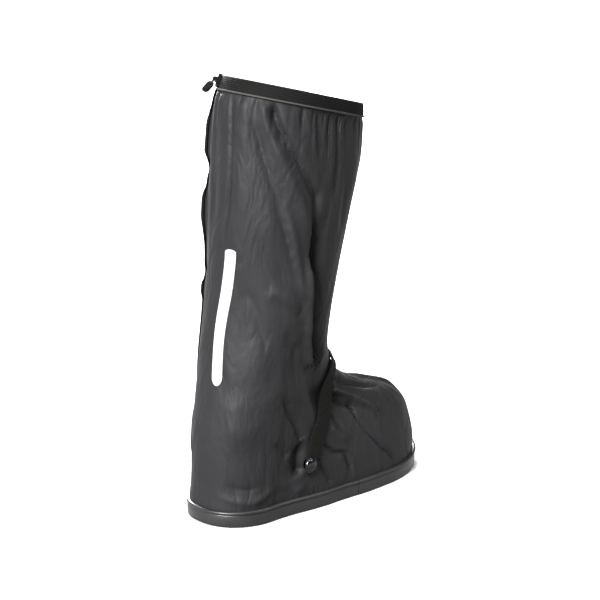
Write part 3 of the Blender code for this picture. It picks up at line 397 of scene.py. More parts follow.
def fold_lines():
    """Each fold's points on the wall, the directions across it, and how strong it is along its length."""
    made = []
    for points, width, rise, lean, fade_in, fade_out in FOLDS:
        s = np.linspace(0, 1, FOLD_STEPS)
        line = smooth_line(points, s)
        girth = line[:, 1]
        point, normal, _, _ = wall_frame(level_at(line[:, 0] / 1000, girth), girth)
        tangent = np.gradient(point, axis=0)
        tangent /= np.linalg.norm(tangent, axis=1, keepdims=True)
        across = np.cross(normal, tangent)
        across *= np.where(across[:, :1] < 0, -1.0, 1.0)
        strength = ease(s / max(fade_in, 1e-3)) * ease((1 - s) / max(fade_out, 1e-3))
        made.append((point, across, strength, width / 1000, rise / 1000, lean / 1000))
    return made


FOLD_LINES = fold_lines()
# A fold is felt this many half widths away. A trough is narrower than a ridge, with a sharper bottom.
FOLD_REACH = 3.0
HOLLOW_TIGHTNESS, HOLLOW_POWER = 1.3, 1.35
LEAN_GAIN = 2.3
# The binding holds the cloth flat over its depth, and the cloth hangs in gathers below it.
BINDING_DEPTH = 0.0125
GATHERS = 47
GATHER_DEPTH = 0.0032
GATHER_LENGTH = 0.020
# Slack sways the shaft in two long low waves, from a little above the ankle.
SLACK_FROM, SLACK_OVER = 0.10, 0.08
SWAY_DEPTHS = (0.0006, 0.0004)


def fold_height(points, girth, drop):
    """How far the cloth stands out from the smooth wall: folds, gathers below the binding, and slack."""
    flat = points.reshape(-1, 3)
    out = np.zeros(len(flat))
    for line, across, strength, width, rise, lean in FOLD_LINES:
        reach = FOLD_REACH * width
        near = np.all((flat > line.min(0) - reach) & (flat < line.max(0) + reach), axis=1)
        index = np.flatnonzero(near)
        if not len(index):
            continue
        away = flat[index, None, :] - line[None]
        nearest = np.argmin(np.sum(away ** 2, axis=2), axis=1)
        pick = away[np.arange(len(index)), nearest]
        side = np.sum(pick * across[nearest], axis=1) / width
        far = np.linalg.norm(pick, axis=1) / width
        bell = np.exp(-far ** 2)
        body = bell if rise > 0 else np.exp(-HOLLOW_TIGHTNESS * far ** HOLLOW_POWER)
        out[index] += strength[nearest] * (rise * body + lean * LEAN_GAIN * side * bell)
    turn = girth.reshape(-1) * math.pi
    below = drop.reshape(-1)
    height = flat[:, 2]
    # The gathers are narrow pinches. Their spacing, depth and length wander, in waves that close round
    # the rim.
    phase = GATHERS * turn + 1.8 * np.sin(5 * turn) + 0.9 * np.sin(11 * turn + 2)
    pinch = ((1 + np.sin(phase)) / 2) ** 4 * (0.65 + 0.35 * np.sin(13 * turn + 1))
    length = GATHER_LENGTH * (1 + 0.45 * np.sin(9 * turn + 0.5))
    out += GATHER_DEPTH * (0.25 - pinch) * np.exp(-np.maximum(below - BINDING_DEPTH, 0) / length)
    slack = ease((height - SLACK_FROM) / SLACK_OVER)
    out += (SWAY_DEPTHS[0] * slack * np.sin(4 * turn + 21 * height)
            + SWAY_DEPTHS[1] * slack * np.sin(7 * turn - 37 * height + 1))
    out *= ease((below - BINDING_DEPTH + 0.002) / 0.010)
    return out.reshape(points.shape[:-1])


def cloth(level, girth, out=0.0):
    """A point on the folded cloth, lifted off it by out."""
    point, normal, _, _ = wall_frame(level, girth)
    girth = np.broadcast_to(np.asarray(girth, float), point.shape[:-1])
    drop = bare_surface(float(LAST_ROW), girth)[..., 2] - point[..., 2]
    lift = fold_height(point, girth, drop) + np.broadcast_to(out, point.shape[:-1])
    return point + normal * lift[..., None]


def lengths_along(line):
    """How far each point lies along a line of points."""
    return np.concatenate([[0.0], np.cumsum(np.linalg.norm(np.diff(line, axis=0), axis=1))])


EVEN_STEPS = 241


def evened(level, girths):
    """Girths as shares of the way round: on the shaft equal shares are equal lengths of wall."""
    weight = float(ease((level - EVEN_FROM) / (EVEN_TO - EVEN_FROM)))
    fine = np.linspace(0, 1, EVEN_STEPS)
    out = np.empty(len(girths))
    for side in (1.0, -1.0):
        line = bare_surface(level, side * fine * 0.999999)
        length = lengths_along(line)
        wrapped = (girths + 1.0) % 2.0 - 1.0
        mine = (wrapped >= 0) == (side > 0)
        share = np.abs(wrapped[mine])
        out[mine] = side * ((1 - weight) * share + weight * np.interp(share, length / length[-1], fine))
    return out


SHARP_DEGREES = 40.0


def new_piece(name, mesh, material, stands_for):
    """A finished piece of the boot: its material and the node that it stands for."""
    mesh.name = name
    obj = bpy.data.objects.new(name, mesh)
    bpy.context.scene.collection.objects.link(obj)
    mesh.materials.append(material)
    mesh.shade_smooth()
    mesh.set_sharp_from_angle(angle=math.radians(SHARP_DEGREES))
    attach(obj, "boot")
    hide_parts(stands_for)


def outward_mesh(points, faces, maps=None):
    """A mesh whose faces all look outward, with the cloth map of their corners where there is one."""
    mesh = bpy.data.meshes.new("piece")
    mesh.from_pydata([tuple(p) for p in points], [], faces)
    if maps:
        cloth_map = mesh.uv_layers.new(name="cloth")
        cloth_map.data.foreach_set("uv", np.array(maps, np.float32).reshape(-1))
    bm = bmesh.new()
    bm.from_mesh(mesh)
    bmesh.ops.recalc_face_normals(bm, faces=bm.faces)
    bm.to_mesh(mesh)
    bm.free()
    return mesh


def sheet_mesh(outer, inner):
    """The solid between two sheets of one grid, with a cloth map of metres along and across it."""
    rows, count = outer.shape[:2]
    back = rows * count
    u = lengths_along(outer[:, count // 2])
    v = lengths_along(outer[rows // 2])
    faces, maps = [], []

    def add(*corners):
        faces.append(tuple(side + i * count + j for side, i, j in corners))
        maps.extend((u[i], v[j]) for _, i, j in corners)

    for i in range(rows - 1):
        for j in range(count - 1):
            add((0, i, j), (0, i, j + 1), (0, i + 1, j + 1), (0, i + 1, j))
            add((back, i + 1, j), (back, i + 1, j + 1), (back, i, j + 1), (back, i, j))
    for i in (0, rows - 1):
        for j in range(count - 1):
            add((0, i, j), (back, i, j), (back, i, j + 1), (0, i, j + 1))
    for j in (0, count - 1):
        for i in range(rows - 1):
            add((0, i, j), (0, i + 1, j), (back, i + 1, j), (back, i, j))
    return outward_mesh(np.vstack([outer.reshape(-1, 3), inner.reshape(-1, 3)]), faces, maps)


# The outer face's grid up and round the wall; the lining's is coarser by INSIDE_STEP.
ROWS, ROUND = 225, 352
INSIDE_STEP = 4


def ring_faces(rows, count, first, order):
    """The faces of a grid that closes on itself, each with its corners in this order."""
    i, j = np.meshgrid(np.arange(rows - 1), np.arange(count), indexing="ij")
    k = (j + 1) % count
    corners = (i * count + j, i * count + k, (i + 1) * count + k, (i + 1) * count + j)
    return (first + np.stack([corners[n] for n in order], -1)).reshape(-1, 4).tolist()


def upper_mesh():
    """The outer face as a fine grid and the lining as a coarser one, joined at the rim and the foot."""
    levels = np.linspace(0, LAST_ROW, ROWS)
    girths = np.array([evened(level, np.arange(ROUND) / ROUND * 2) for level in levels])
    level_grid = np.repeat(levels[:, None], ROUND, axis=1)
    outer = cloth(level_grid, girths)
    few = (slice(None, None, INSIDE_STEP), slice(None, None, INSIDE_STEP))
    inner = cloth(level_grid[few], girths[few], -WALL)
    inner[0, :, 2] = outer[0, ::INSIDE_STEP, 2]
    rows_in, round_in = inner.shape[:2]
    points = np.vstack([outer.reshape(-1, 3), inner.reshape(-1, 3)])
    base = ROWS * ROUND
    faces = ring_faces(ROWS, ROUND, 0, (0, 1, 2, 3)) + ring_faces(rows_in, round_in, base, (3, 2, 1, 0))
    for row, row_in, turn in ((0, 0, -1), (ROWS - 1, rows_in - 1, 1)):
        for b in range(round_in):
            c = (b + 1) % round_in
            fine = [row * ROUND + (b * INSIDE_STEP + n) % ROUND for n in range(INSIDE_STEP + 1)]
            ring = fine + [base + row_in * round_in + c, base + row_in * round_in + b]
            faces.append(ring[::turn])
    return outward_mesh(points, faces)


def feed(shader, **outputs):
    """Links these outputs to the shader's inputs."""
    for key, output in outputs.items():
        shader.id_data.links.new(output, shader.inputs[key.replace("_", " ")])


def grained(name, grain_mm, detail, low, high, beads=False, gloss=None, relief=None, relief_mm=None,
            **sockets):
    """A finish with one grain, or a net of beads, through its colour, from low to high. It may also have
    roughness (least and most) and relief (strength and depth), with a finer grain of its own."""
    made, tree, shader = surface_finish(name, **sockets)
    where = node(tree, "TexCoord").outputs["Object"]
    grain = node(tree, "TexVoronoi" if beads else "TexNoise",
                 {"Vector": where, "Scale": 1000 / grain_mm, "Detail": detail})
    grain = grain.outputs["Distance" if beads else "Fac"]
    shade = node(tree, "Mix", {0: grain, 6: linear(low), 7: linear(high)}, data_type="RGBA")
    feed(shader, Base_Color=shade.outputs[2])
    if gloss:
        rough = node(tree, "MapRange", {"Value": grain, "To Min": gloss[0], "To Max": gloss[1]})
        feed(shader, Roughness=rough.outputs["Result"])
    if relief_mm:
        fine = node(tree, "TexNoise", {"Vector": where, "Scale": 1000 / relief_mm, "Detail": 3.0})
        grain = fine.outputs["Fac"]
    if relief:
        raised = node(tree, "Bump", {"Height": grain, "Strength": relief[0], "Distance": relief[1]})
        feed(shader, Normal=raised.outputs["Normal"])
    return made


# Polyester cloth with a thin smooth coating: dark grey in slow patches, with a soft satin gleam along
# the folds, a weave just too fine to see, and the creases of slack and of being packed, about 34 and
# 7 mm apart. The refraction is set low, here and on the tapes, so that the white walls don't veil the
# dark folds.
PATCH_MM, SLACK_MM, CRUMPLE_MM = 60.0, 34.0, 7.0
# Slack creases hang, so they are longer upright than across.
HANG_SHARE = 0.42
CLOTH_IOR = 1.22
coated_cloth = grained("coated polyester cloth", PATCH_MM, 3.0, "#1c1c1d", "#242425", gloss=(0.52, 0.64),
                       Roughness=0.58, IOR=CLOTH_IOR)
tree = coated_cloth.node_tree
where = node(tree, "TexCoord").outputs["Object"]
hang = node(tree, "Mapping", {"Vector": where, "Scale": (1.0, 1.0, HANG_SHARE)})
slack = node(tree, "TexNoise", {"Vector": hang.outputs["Vector"], "Scale": 1000 / SLACK_MM, "Detail": 3.0,
                                "Roughness": 0.5, "Distortion": 0.5})
# Slack noise folded up at its middle value makes sharp creases, and the crumple lies over them.
midway = node(tree, "Math", {0: slack.outputs["Fac"], 1: 0.5}, operation="SUBTRACT")
creased = node(tree, "Math", {0: midway.outputs[0]}, operation="ABSOLUTE")
crumple = node(tree, "TexNoise", {"Vector": where, "Scale": 1000 / CRUMPLE_MM, "Detail": 4.0,
                                  "Roughness": 0.55})
wide_relief = node(tree, "Bump", {"Height": creased.outputs[0], "Strength": 0.50, "Distance": 0.012})
relief = node(tree, "Bump", {"Height": crumple.outputs["Fac"], "Normal": wide_relief.outputs["Normal"],
                             "Strength": 0.30, "Distance": 0.0008})
feed(tree.nodes["Principled BSDF"], Normal=relief.outputs["Normal"])

new_piece("upper_cloth", upper_mesh(), coated_cloth, stands_for="upper")

# COLLAR BINDING
# A fine-ribbed elastic tape folded over the cloth's raw rim and stitched through along its lower edge.
# It is open for the width of the zip's slider.
ZIP_GIRTH_TOP = 0.830
BINDING_THICKNESS = 0.0014
BINDING_LIP = 0.0008
RIM_GAP_HALF = 0.0050
RIM_STEPS = 260
# How far the back of a piece that lies on the cloth stays off it
SKIN = 0.0001


def rim_point(girth, rise, out):
    """Points near the rim: out from the cloth, and above or below the rim along it."""
    if rise < 0:
        rim = bare_surface(float(LAST_ROW), girth)[..., 2]
        return cloth(level_at(rim + rise, girth), girth, out)
    _, normal, along, _ = wall_frame(float(LAST_ROW), girth)
    along = along / np.linalg.norm(along, axis=-1, keepdims=True)
    return cloth(float(LAST_ROW), girth, 0.0) + along * rise + normal * out


_, _, _, rim_slope = wall_frame(float(LAST_ROW), ZIP_GIRTH_TOP)
rim_gap = RIM_GAP_HALF / np.linalg.norm(rim_slope)
rim_girths = np.linspace(ZIP_GIRTH_TOP + rim_gap, ZIP_GIRTH_TOP - rim_gap + 2, RIM_STEPS)
thick = BINDING_THICKNESS
# The binding's section from its outer lower edge over the rim to the inner one, as rises from the rim and
# distances out from the cloth: its visible face, and its back, which follows the cloth.
low = -BINDING_DEPTH
binding_face = (
    (low, thick * 0.5), (low, thick + BINDING_LIP), (low + 0.0012, thick + BINDING_LIP),
    (low + 0.0018, thick * 0.85), (-0.008, thick), (-0.004, thick), (0.0002, thick),
    (thick * 0.8, thick * 0.55), (thick, -WALL / 2), (thick * 0.8, -WALL - thick * 0.55),
    (0.0002, -WALL - thick), (-0.006, -WALL - thick), (low, -WALL - thick))
binding_back = [(rise, SKIN) for rise, _ in binding_face[:6]]
binding_back += [(0.0, SKIN), (SKIN, 0.0), (0.0002, -WALL / 2), (SKIN, -WALL)]
binding_back += [(rise, -WALL - SKIN) for rise in (0.0, -0.006, low)]
binding_mesh = sheet_mesh(*(np.array([rim_point(rim_girths, rise, out) for rise, out in section])
                            for section in (binding_face, binding_back)))

# Knitted elastic: near black and dry, with ribs that run round the rim, about 1.7 mm apart, and a
# painted highlight: a lighter colour along its lower edge, for the sheen on the bead there. WAVE over
# a spacing in millimetres is the scale at which a wave texture has that spacing.
WAVE = 1000 * math.pi / 10
RIB_MM = 1.7
KNIT_MM = 0.71
# How wide the painted highlight along the binding's lower edge is
SHEEN_EDGE_MM = 3.4
ribbed_elastic, tree, shader = surface_finish("ribbed knitted elastic", Roughness=0.8, IOR=CLOTH_IOR)
where = node(tree, "UVMap", uv_map="cloth").outputs["UV"]
ribs = node(tree, "TexWave", {"Vector": where, "Scale": WAVE / RIB_MM, "Distortion": 0.4, "Detail": 1.0})
knit = node(tree, "TexNoise", {"Vector": where, "Scale": 1000 / KNIT_MM, "Detail": 2.0})
mixed = node(tree, "Math", {0: ribs.outputs["Fac"], 1: knit.outputs["Fac"]}, operation="MULTIPLY")
rib_shade = node(tree, "Mix", {0: mixed.outputs[0], 6: linear("#040404"), 7: linear("#1d1d1c")},
                 data_type="RGBA")
place = node(tree, "SeparateXYZ", {"Vector": where})
# Painted highlight: the band along the lower edge gets a lighter colour, standing in for the sheen on the
# bead there.
edge = node(tree, "Math", {0: place.outputs["X"], 1: SHEEN_EDGE_MM / 1000}, operation="LESS_THAN")
shade = node(tree, "Mix", {0: edge.outputs[0], 6: rib_shade.outputs[2], 7: linear("#343432")},
             data_type="RGBA")
relief = node(tree, "Bump", {"Height": mixed.outputs[0], "Strength": 0.6, "Distance": 0.0004})
feed(shader, Base_Color=shade.outputs[2], Normal=relief.outputs["Normal"])

new_piece("binding_elastic", binding_mesh, ribbed_elastic, stands_for="collar_binding")

# ZIP TAPE AND PLACKETS
# A woven tape sewn and taped down the inner rear of the shaft, with a folded strip of the coated cloth
# along the front of the teeth and a wider woven flap along their back. It is stiffer than the cloth, so
# it stands out in waves.
ZIP_FOOT = 0.072
ZIP_GIRTH_FOOT = 0.685
TAPE_WIDTH = 0.022
TAPE_THICKNESS, TAPE_LIFT = 0.0007, 0.0003
TAPE_STEPS = 150
PLACKET_WIDTH = 0.0080
PLACKET_NEAR = 0.0049
PLACKET_THICKNESS, PLACKET_LIFT = 0.0011, 0.0011
FLAP_EDGE = 0.0026
SIDE_ROUNDS = 6


def zip_path(top_drop, count):
    """The zip's line up the wall, as levels and girths."""
    rim = float(bare_surface(float(LAST_ROW), ZIP_GIRTH_TOP)[2])
    top = float(level_at(rim - top_drop, ZIP_GIRTH_TOP)) if top_drop > 0 else float(LAST_ROW)
    foot = float(level_at(ZIP_FOOT, ZIP_GIRTH_FOOT))
    level = np.linspace(foot, top, count)
    climbed = (level - foot) / (LAST_ROW - foot)
    girth = ZIP_GIRTH_FOOT + (ZIP_GIRTH_TOP - ZIP_GIRTH_FOOT) * (1 - (1 - climbed) ** 2)
    return np.stack([level, girth], 1)


def beside(path, width):
    """The levels and girths that lie this far to the side of a path on the wall."""
    start, normal, along, round_ = wall_frame(path[:, 0], path[:, 1])
    step = np.gradient(path, axis=0)
    tangent = along * step[:, :1] + round_ * step[:, 1:]
    tangent /= np.linalg.norm(tangent, axis=1, keepdims=True)
    across = np.cross(normal, tangent)
    moved = path.copy()
    for _ in range(SIDE_ROUNDS):
        point, _, along, round_ = wall_frame(moved[:, 0], moved[:, 1])
        travelled = point - start
        side = np.sum(travelled * across, axis=1)
        ahead = np.sum(travelled * tangent, axis=1)
        reach = np.maximum(np.linalg.norm(travelled, axis=1), np.abs(side))
        missing = across * (width - np.sign(side) * reach)[:, None] - tangent * ahead[:, None]
        aa, ab, bb = (np.sum(p * q, axis=1)
                      for p, q in ((along, along), (along, round_), (round_, round_)))
        am, rm = np.sum(along * missing, axis=1), np.sum(round_ * missing, axis=1)
        whole = aa * bb - ab * ab
        moved[:, 0] = np.clip(moved[:, 0] + (am * bb - rm * ab) / whole, 0, LAST_ROW)
        moved[:, 1] += (rm * aa - am * ab) / whole
    return moved


def ribbon_mesh(path, profile, lift, thickness):
    """A strip laid on the cloth: profile has its places across, and shares of its thickness there."""
    outer, inner = [], []
    for place, share in profile:
        line = beside(path, np.broadcast_to(place, len(path)))
        outer.append(cloth(line[:, 0], line[:, 1], lift + thickness * share))
        inner.append(cloth(line[:, 0], line[:, 1], lift))
    return sheet_mesh(np.swapaxes(np.array(outer), 0, 1), np.swapaxes(np.array(inner), 0, 1))


def rounded(low, high, steps):
    """A strip's profile from edge to edge, with its edges rounded off."""
    edge = min((high - low) * 0.08, 0.0006)
    middle = [(low + edge + (high - low - 2 * edge) * k / steps, 1.0) for k in range(steps + 1)]
    return [(low, 0.35)] + middle + [(high, 0.35)]


def woven(name, cord_mm, pick_mm, picks_run, dark, light, depth, **sockets):
    """A woven finish: cords along the piece with picks across them, in two colours and in relief."""
    made, tree, shader = surface_finish(name, IOR=CLOTH_IOR, **sockets)
    where = node(tree, "UVMap", uv_map="cloth").outputs["UV"]
    cords, picks = (
        node(tree, "TexWave", {"Vector": where, "Scale": WAVE / apart},
             bands_direction=run).outputs["Fac"]
        for apart, run in ((cord_mm, "Y"), (pick_mm, picks_run)))
    mixed = node(tree, "Math", {0: cords, 1: picks}, operation="MULTIPLY")
    shade = node(tree, "Mix", {0: mixed.outputs[0], 6: linear(dark), 7: linear(light)}, data_type="RGBA")
    relief = node(tree, "Bump", {"Height": mixed.outputs[0], "Strength": 0.5, "Distance": depth})
    feed(shader, Base_Color=shade.outputs[2], Normal=relief.outputs["Normal"])
    return made


tape_path = zip_path(BINDING_DEPTH + 0.0010, TAPE_STEPS)

# Woven polyester tape: black, matt, with a fine lengthwise cord drawn at 1.0 mm, for threads of about
# half that.
zip_weave = woven("woven zip tape", 1.0, 0.8, "X", "#060606", "#101010", 0.0003, Roughness=0.8)
tape_profile = rounded(-TAPE_WIDTH / 2, TAPE_WIDTH / 2, 10)
new_piece("zip_tape_weave", ribbon_mesh(tape_path, tape_profile, TAPE_LIFT, TAPE_THICKNESS), zip_weave,
          stands_for="zip_tape")

# Folded coated cloth: smoother than the shaft, for it is pressed flat, with patches 11 mm wide.
placket_cloth = grained("pressed coated cloth", 11.1, 4.0, "#1b1b1c", "#242426", relief=(0.3, 0.0008),
                        Roughness=0.42, IOR=CLOTH_IOR)
for name, low, high, finish, slot in (
        ("front", PLACKET_NEAR, PLACKET_NEAR + PLACKET_WIDTH, placket_cloth, "placket_fabric"),
        ("rear", -PLACKET_NEAR - PLACKET_WIDTH - FLAP_EDGE, -PLACKET_NEAR, zip_weave, "zip_tape")):
    strip = ribbon_mesh(tape_path, rounded(low, high, 6), PLACKET_LIFT, PLACKET_THICKNESS)
    new_piece("placket_" + name, strip, finish, stands_for="zip_placket_" + name)

# ZIP TEETH
# A nylon coil zip: two spirals of stiff thread that lock into each other, each turn showing as a
# short bar that slopes to the middle. The turns are 1.6 mm apart.
TOOTH_PITCH = 0.0016
TOOTH_THICK = 0.0009
TOOTH_LIFT = 0.0011
TOOTH_SLOPE = 0.18
# One turn from its inner end to its outer: how far out from the middle, how high, and half its length
# along the zip in pitches
TOOTH_ROWS = ((-0.0007, 0.0, 0.42), (0.0008, 1.0, 0.36), (0.0022, 1.0, 0.34), (0.0026, 0.2, 0.30))
LINE_STEPS = 1200


def teeth_mesh():
    """Two rows of short round-topped bars that overlap in the middle, along the zip's line."""
    fine = zip_path(0.0, LINE_STEPS)
    centre = cloth(fine[:, 0], fine[:, 1], TOOTH_LIFT)
    _, normal, _, _ = wall_frame(fine[:, 0], fine[:, 1])
    run = lengths_along(centre)
    places = np.arange(TOOTH_PITCH, run[-1] - TOOTH_PITCH, TOOTH_PITCH)
    points, faces = [], []
    slope = np.gradient(centre, axis=0)
    slope /= np.linalg.norm(slope, axis=1, keepdims=True)
    for side in (-1.0, 1.0):
        for place in places + (TOOTH_PITCH / 2 if side > 0 else 0.0):
            k = int(np.searchsorted(run, place).clip(0, len(run) - 1))
            c, n, t = centre[k], normal[k], slope[k]
            a = np.cross(n, t) * side
            p = len(points)
            for out, up, half_long in TOOTH_ROWS:
                for ahead in (-1, 1):
                    for rise in (0.0, 1.0):
                        reach = ahead * half_long * TOOTH_PITCH * (0.8 if rise else 1.0)
                        points.append(c + a * out + t * reach + t * out * TOOTH_SLOPE
                                      + n * TOOTH_THICK * (rise * (0.55 + 0.45 * up)))
            for q in (p, p + 4, p + 8):
                faces += [(q, q + 4, q + 5, q + 1), (q + 2, q + 3, q + 7, q + 6),
                          (q + 1, q + 5, q + 7, q + 3), (q, q + 2, q + 6, q + 4)]
            faces += [(p, p + 1, p + 3, p + 2), (p + 12, p + 14, p + 15, p + 13)]
    return outward_mesh(points, faces)


# Extruded nylon: near black, smooth and a little glossy, with a faint 2 mm unevenness.
nylon = grained("extruded nylon", 2.0, 2.0, "#101010", "#181818", Roughness=0.35, IOR=1.53)
new_piece("zip_teeth", teeth_mesh(), nylon, stands_for="zip_chain")

# SLIDER AND PULL TAB
# Cast zinc with a blackened finish, the tab hinged on a pin between two ears. Both are the CAD
# solids themselves, with the metal's finish.


def dress(node_name, material):
    """Gives a CAD node that stays its finish."""
    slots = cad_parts[node_name].data.materials
    slots.clear()
    slots.append(material)


# Blackened zinc: dark and half glossy, with a skin of casting grain and rubbing about 2.4 mm wide.
black_zinc = grained("blackened cast zinc", 2.38, 4.0, "#2a2a2c", "#454547", gloss=(0.22, 0.42),
                     relief=(0.15, 0.0002), Metallic=1.0, Roughness=0.3)
dress("zip_slider", black_zinc)
dress("zip_pull", black_zinc)

# INSTEP STRAP
# Woven polyester webbing drawn over the front of the ankle and snapped down on each side of the
# foot. It is under tension, so it runs straight across the hollows of the cloth.

# Heights as shares of INSTEP_HEIGHT, and girths, from the outer snap to the middle of the front
STRAP_HALF_ROUTE = (
    (0.28, -.640), (0.39, -.634), (0.48, -.619), (0.56, -.597), (0.65, -.557), (0.72, -.489),
    (0.785, -.385), (0.855, -.318), (0.93, -.270), (1.01, -.228), (1.07, -.150), (1.10, 0.0))
STRAP_ROUTE = STRAP_HALF_ROUTE + tuple((share, -girth) for share, girth in STRAP_HALF_ROUTE[-2::-1])
# The strap lies on its studs over the first of these shares and comes down over the second. Its ends
# are rounded over the third.
STRAP_HOLD_SHARE = 0.065
STRAP_LIFT_SHARE = 0.10
STRAP_END_SHARE = 0.022
STRAP_WIDTH = 0.020
STRAP_THICKNESS = 0.0015
STRAP_LIFT = 0.0012
STUD_THICKNESS = 0.0022
STUD_PLAY = 0.0006
STRAP_STEPS = 201
TAUT_ROUNDS = 420


def wall_route(route, unit, shares):
    """The wall's levels and girths along listed heights, given as shares of a unit, and girths."""
    line = smooth_line(route, shares)
    return np.stack([level_at(line[:, 0] * unit, line[:, 1]), line[:, 1]], 1)


def strap_mesh():
    """The strap's band: its line pulled taut, kept off the cloth across its whole width."""
    s = np.linspace(0, 1, STRAP_STEPS)
    path = wall_route(STRAP_ROUTE, INSTEP_HEIGHT, s)
    from_end = np.minimum(s, 1 - s)
    end = 1 - ease((from_end - STRAP_HOLD_SHARE) / STRAP_LIFT_SHARE)
    lift = STRAP_LIFT + (STUD_THICKNESS + STUD_PLAY - STRAP_LIFT) * end
    round_end = 1 - (1 - np.clip(from_end / STRAP_END_SHARE, 0, 1)) ** 2
    half = STRAP_WIDTH / 2 * np.sqrt(np.clip(round_end, 0.04, 1))
    places = np.linspace(-1, 1, 9)
    _, normal, _, _ = wall_frame(path[:, 0], path[:, 1])
    rails = []
    for place in places:
        line = beside(path, half * place)
        base, own, _, _ = wall_frame(line[:, 0], line[:, 1])
        rail = cloth(line[:, 0], line[:, 1], lift)
        least = np.sum((rail - base) * own, axis=1)
        for _ in range(TAUT_ROUNDS):
            rail[1:-1] += 0.5 * ((rail[:-2] + rail[2:]) / 2 - rail[1:-1])
            short = least - np.sum((rail - base) * own, axis=1)
            rail += own * np.maximum(short, 0)[:, None]
        rails.append(rail)
    under = np.swapaxes(np.array(rails), 0, 1)
    edge = np.where(np.abs(places) > 0.99, 0.55, 1.0)
    over = under + normal[:, None, :] * STRAP_THICKNESS * edge[None, :, None]
    return sheet_mesh(over, under)


# Woven webbing: dark with a green cast, matt, its twill drawn at 1.4 mm for threads of about 0.7 mm.
webbing = woven("polyester webbing", 1.4, 2.0, "DIAGONAL", "#0c0c0b", "#181816", 0.0004, Roughness=0.72)
new_piece("strap_webbing", strap_mesh(), webbing, stands_for="instep_strap")

# SNAPS
# Sprung steel snaps pressed through the strap's ends: a domed cap outside, and under the strap a
# stud on a ring that is clenched through the cloth.

# How far along the strap each snap is from its end
SNAP_SHARE = 0.035
CAP_RADIUS = 0.0075
STUD_RADIUS = 0.0055
# Radii as shares and heights in metres, from the middle of the underside round to the top's middle
CAP_ROWS = (
    (0, 0), (0.97, 0), (1, 0.0003), (1, 0.0007), (0.96, 0.0010), (0.90, 0.0010), (0.86, 0.0009),
    (0.82, 0.0014), (0.72, 0.0020), (0.56, 0.0026), (0.38, 0.0029), (0.18, 0.0031), (0, 0.0031))
STUD_ROWS = (
    (0, 0.0003), (1.15, 0.0003), (1.2, 0.0006), (1.1, 0.0010), (0.8, 0.0011), (0.78, 0.0018),
    (0.7, 0.0021), (0, 0.0021))
CAP_BASE = STUD_THICKNESS + STRAP_THICKNESS + 0.0009


def snap_matrix(girth_sign):
    """The frame of one snap: Z outward through the strap's end, from the smooth wall."""
    share = SNAP_SHARE if girth_sign < 0 else 1 - SNAP_SHARE
    level, girth = wall_route(STRAP_ROUTE, INSTEP_HEIGHT, [share])[0]
    point, normal, along, _ = wall_frame(level, girth)
    out = Vector(normal)
    up = Vector(along).normalized()
    across = up.cross(out).normalized()
    matrix = Matrix((across, out.cross(across), out)).transposed().to_4x4()
    matrix.translation = Vector(point)
    return matrix


def turned_mesh(rows, radius, base, count, matrix):
    """A round piece from its rows of radii and heights, which start and end on its axis."""
    points, rings, faces = [], [], []
    for share, height in rows:
        many = 1 if share == 0 else count
        rings.append(list(range(len(points), len(points) + many)))
        turns = [2 * math.pi * i / count for i in range(many)]
        points += [(radius * share * math.cos(turn), radius * share * math.sin(turn), base + height)
                   for turn in turns]
    for a, b in zip(rings, rings[1:]):
        for i in range(count):
            corners = (a[i % len(a)], b[i % len(b)], b[(i + 1) % len(b)], a[(i + 1) % len(a)])
            # On the axis two corners are one.
            faces.append(tuple(dict.fromkeys(corners)))
    mesh = outward_mesh(points, faces)
    mesh.transform(matrix)
    return mesh


# Polished steel blackened by plating: a mirror-like dome with fine rubbed marks, 3.3 mm apart.
snap_steel = grained("black-plated steel", 3.33, 5.0, "#2e2e30", "#4a4a4c", gloss=(0.12, 0.28),
                     Metallic=1.0, Roughness=0.18)
for name, sign in (("lateral", -1), ("medial", 1)):
    matrix = snap_matrix(sign)
    for part, rows, radius, base, count in (("cap_", CAP_ROWS, CAP_RADIUS, CAP_BASE, 48),
                                            ("stud_", STUD_ROWS, STUD_RADIUS, 0.0, 40)):
        new_piece(part + name, turned_mesh(rows, radius, base, count, matrix), snap_steel,
                  stands_for="snap_" + part + name)

# REFLECTIVE STRIP
# A strip of white retroreflective film with rounded ends, heat-pressed on the outer rear of the shaft,
# so that it goes in and out with the folds.

# Heights as shares of SHAFT_HEIGHT, and girths, from the foot up
STRIP_ROUTE = ((0.319, -.977), (0.388, -.988), (0.432, -.991), (0.475, -.987), (0.528, -.977),
               (0.592, -.968), (0.628, -.966))
STRIP_WIDTH = 0.0130
STRIP_LENGTH = 0.130
STRIP_THICKNESS = 0.0006
STRIP_STEPS = 150
# How long the round of each end is, as a share of the strip's width
FOOT_ROUND, TOP_ROUND = 0.50, 0.34

# Places along the strip, closer together towards its rounded ends.
strip_shares = 0.5 - 0.5 * np.cos(np.pi * np.linspace(0, 1, STRIP_STEPS))
strip_path = wall_route(STRIP_ROUTE, SHAFT_HEIGHT, strip_shares)
strip_end = np.minimum(strip_shares, 1 - strip_shares) * STRIP_LENGTH
end_length = np.where(strip_shares < 0.5, STRIP_WIDTH * FOOT_ROUND, STRIP_WIDTH * TOP_ROUND)
strip_half = STRIP_WIDTH / 2 * np.sqrt(1 - (1 - np.clip(strip_end / end_length, 0.002, 1)) ** 2)

# Glass beads under a clear skin: white in this strong light, faintly grained, with a soft shine. The
# beads are drawn at 1.1 mm, for real ones of under 0.1 mm.
white_film = grained("white bead film", 1.11, 0.0, "#7c7c7c", "#6e6e6e", beads=True, Roughness=0.35,
                     IOR=1.5)
strip_profile = [(strip_half * place, 1.0) for place in np.linspace(-1, 1, 9)]
new_piece("strip_film", ribbon_mesh(strip_path, strip_profile, SKIN, STRIP_THICKNESS), white_film,
          stands_for="reflective_strip")

# HEEL REFLECTOR
# A small triangle of silver bead film on a black printed ground, heat-pressed on the inner side of the
# heel, where the cloth is smooth.

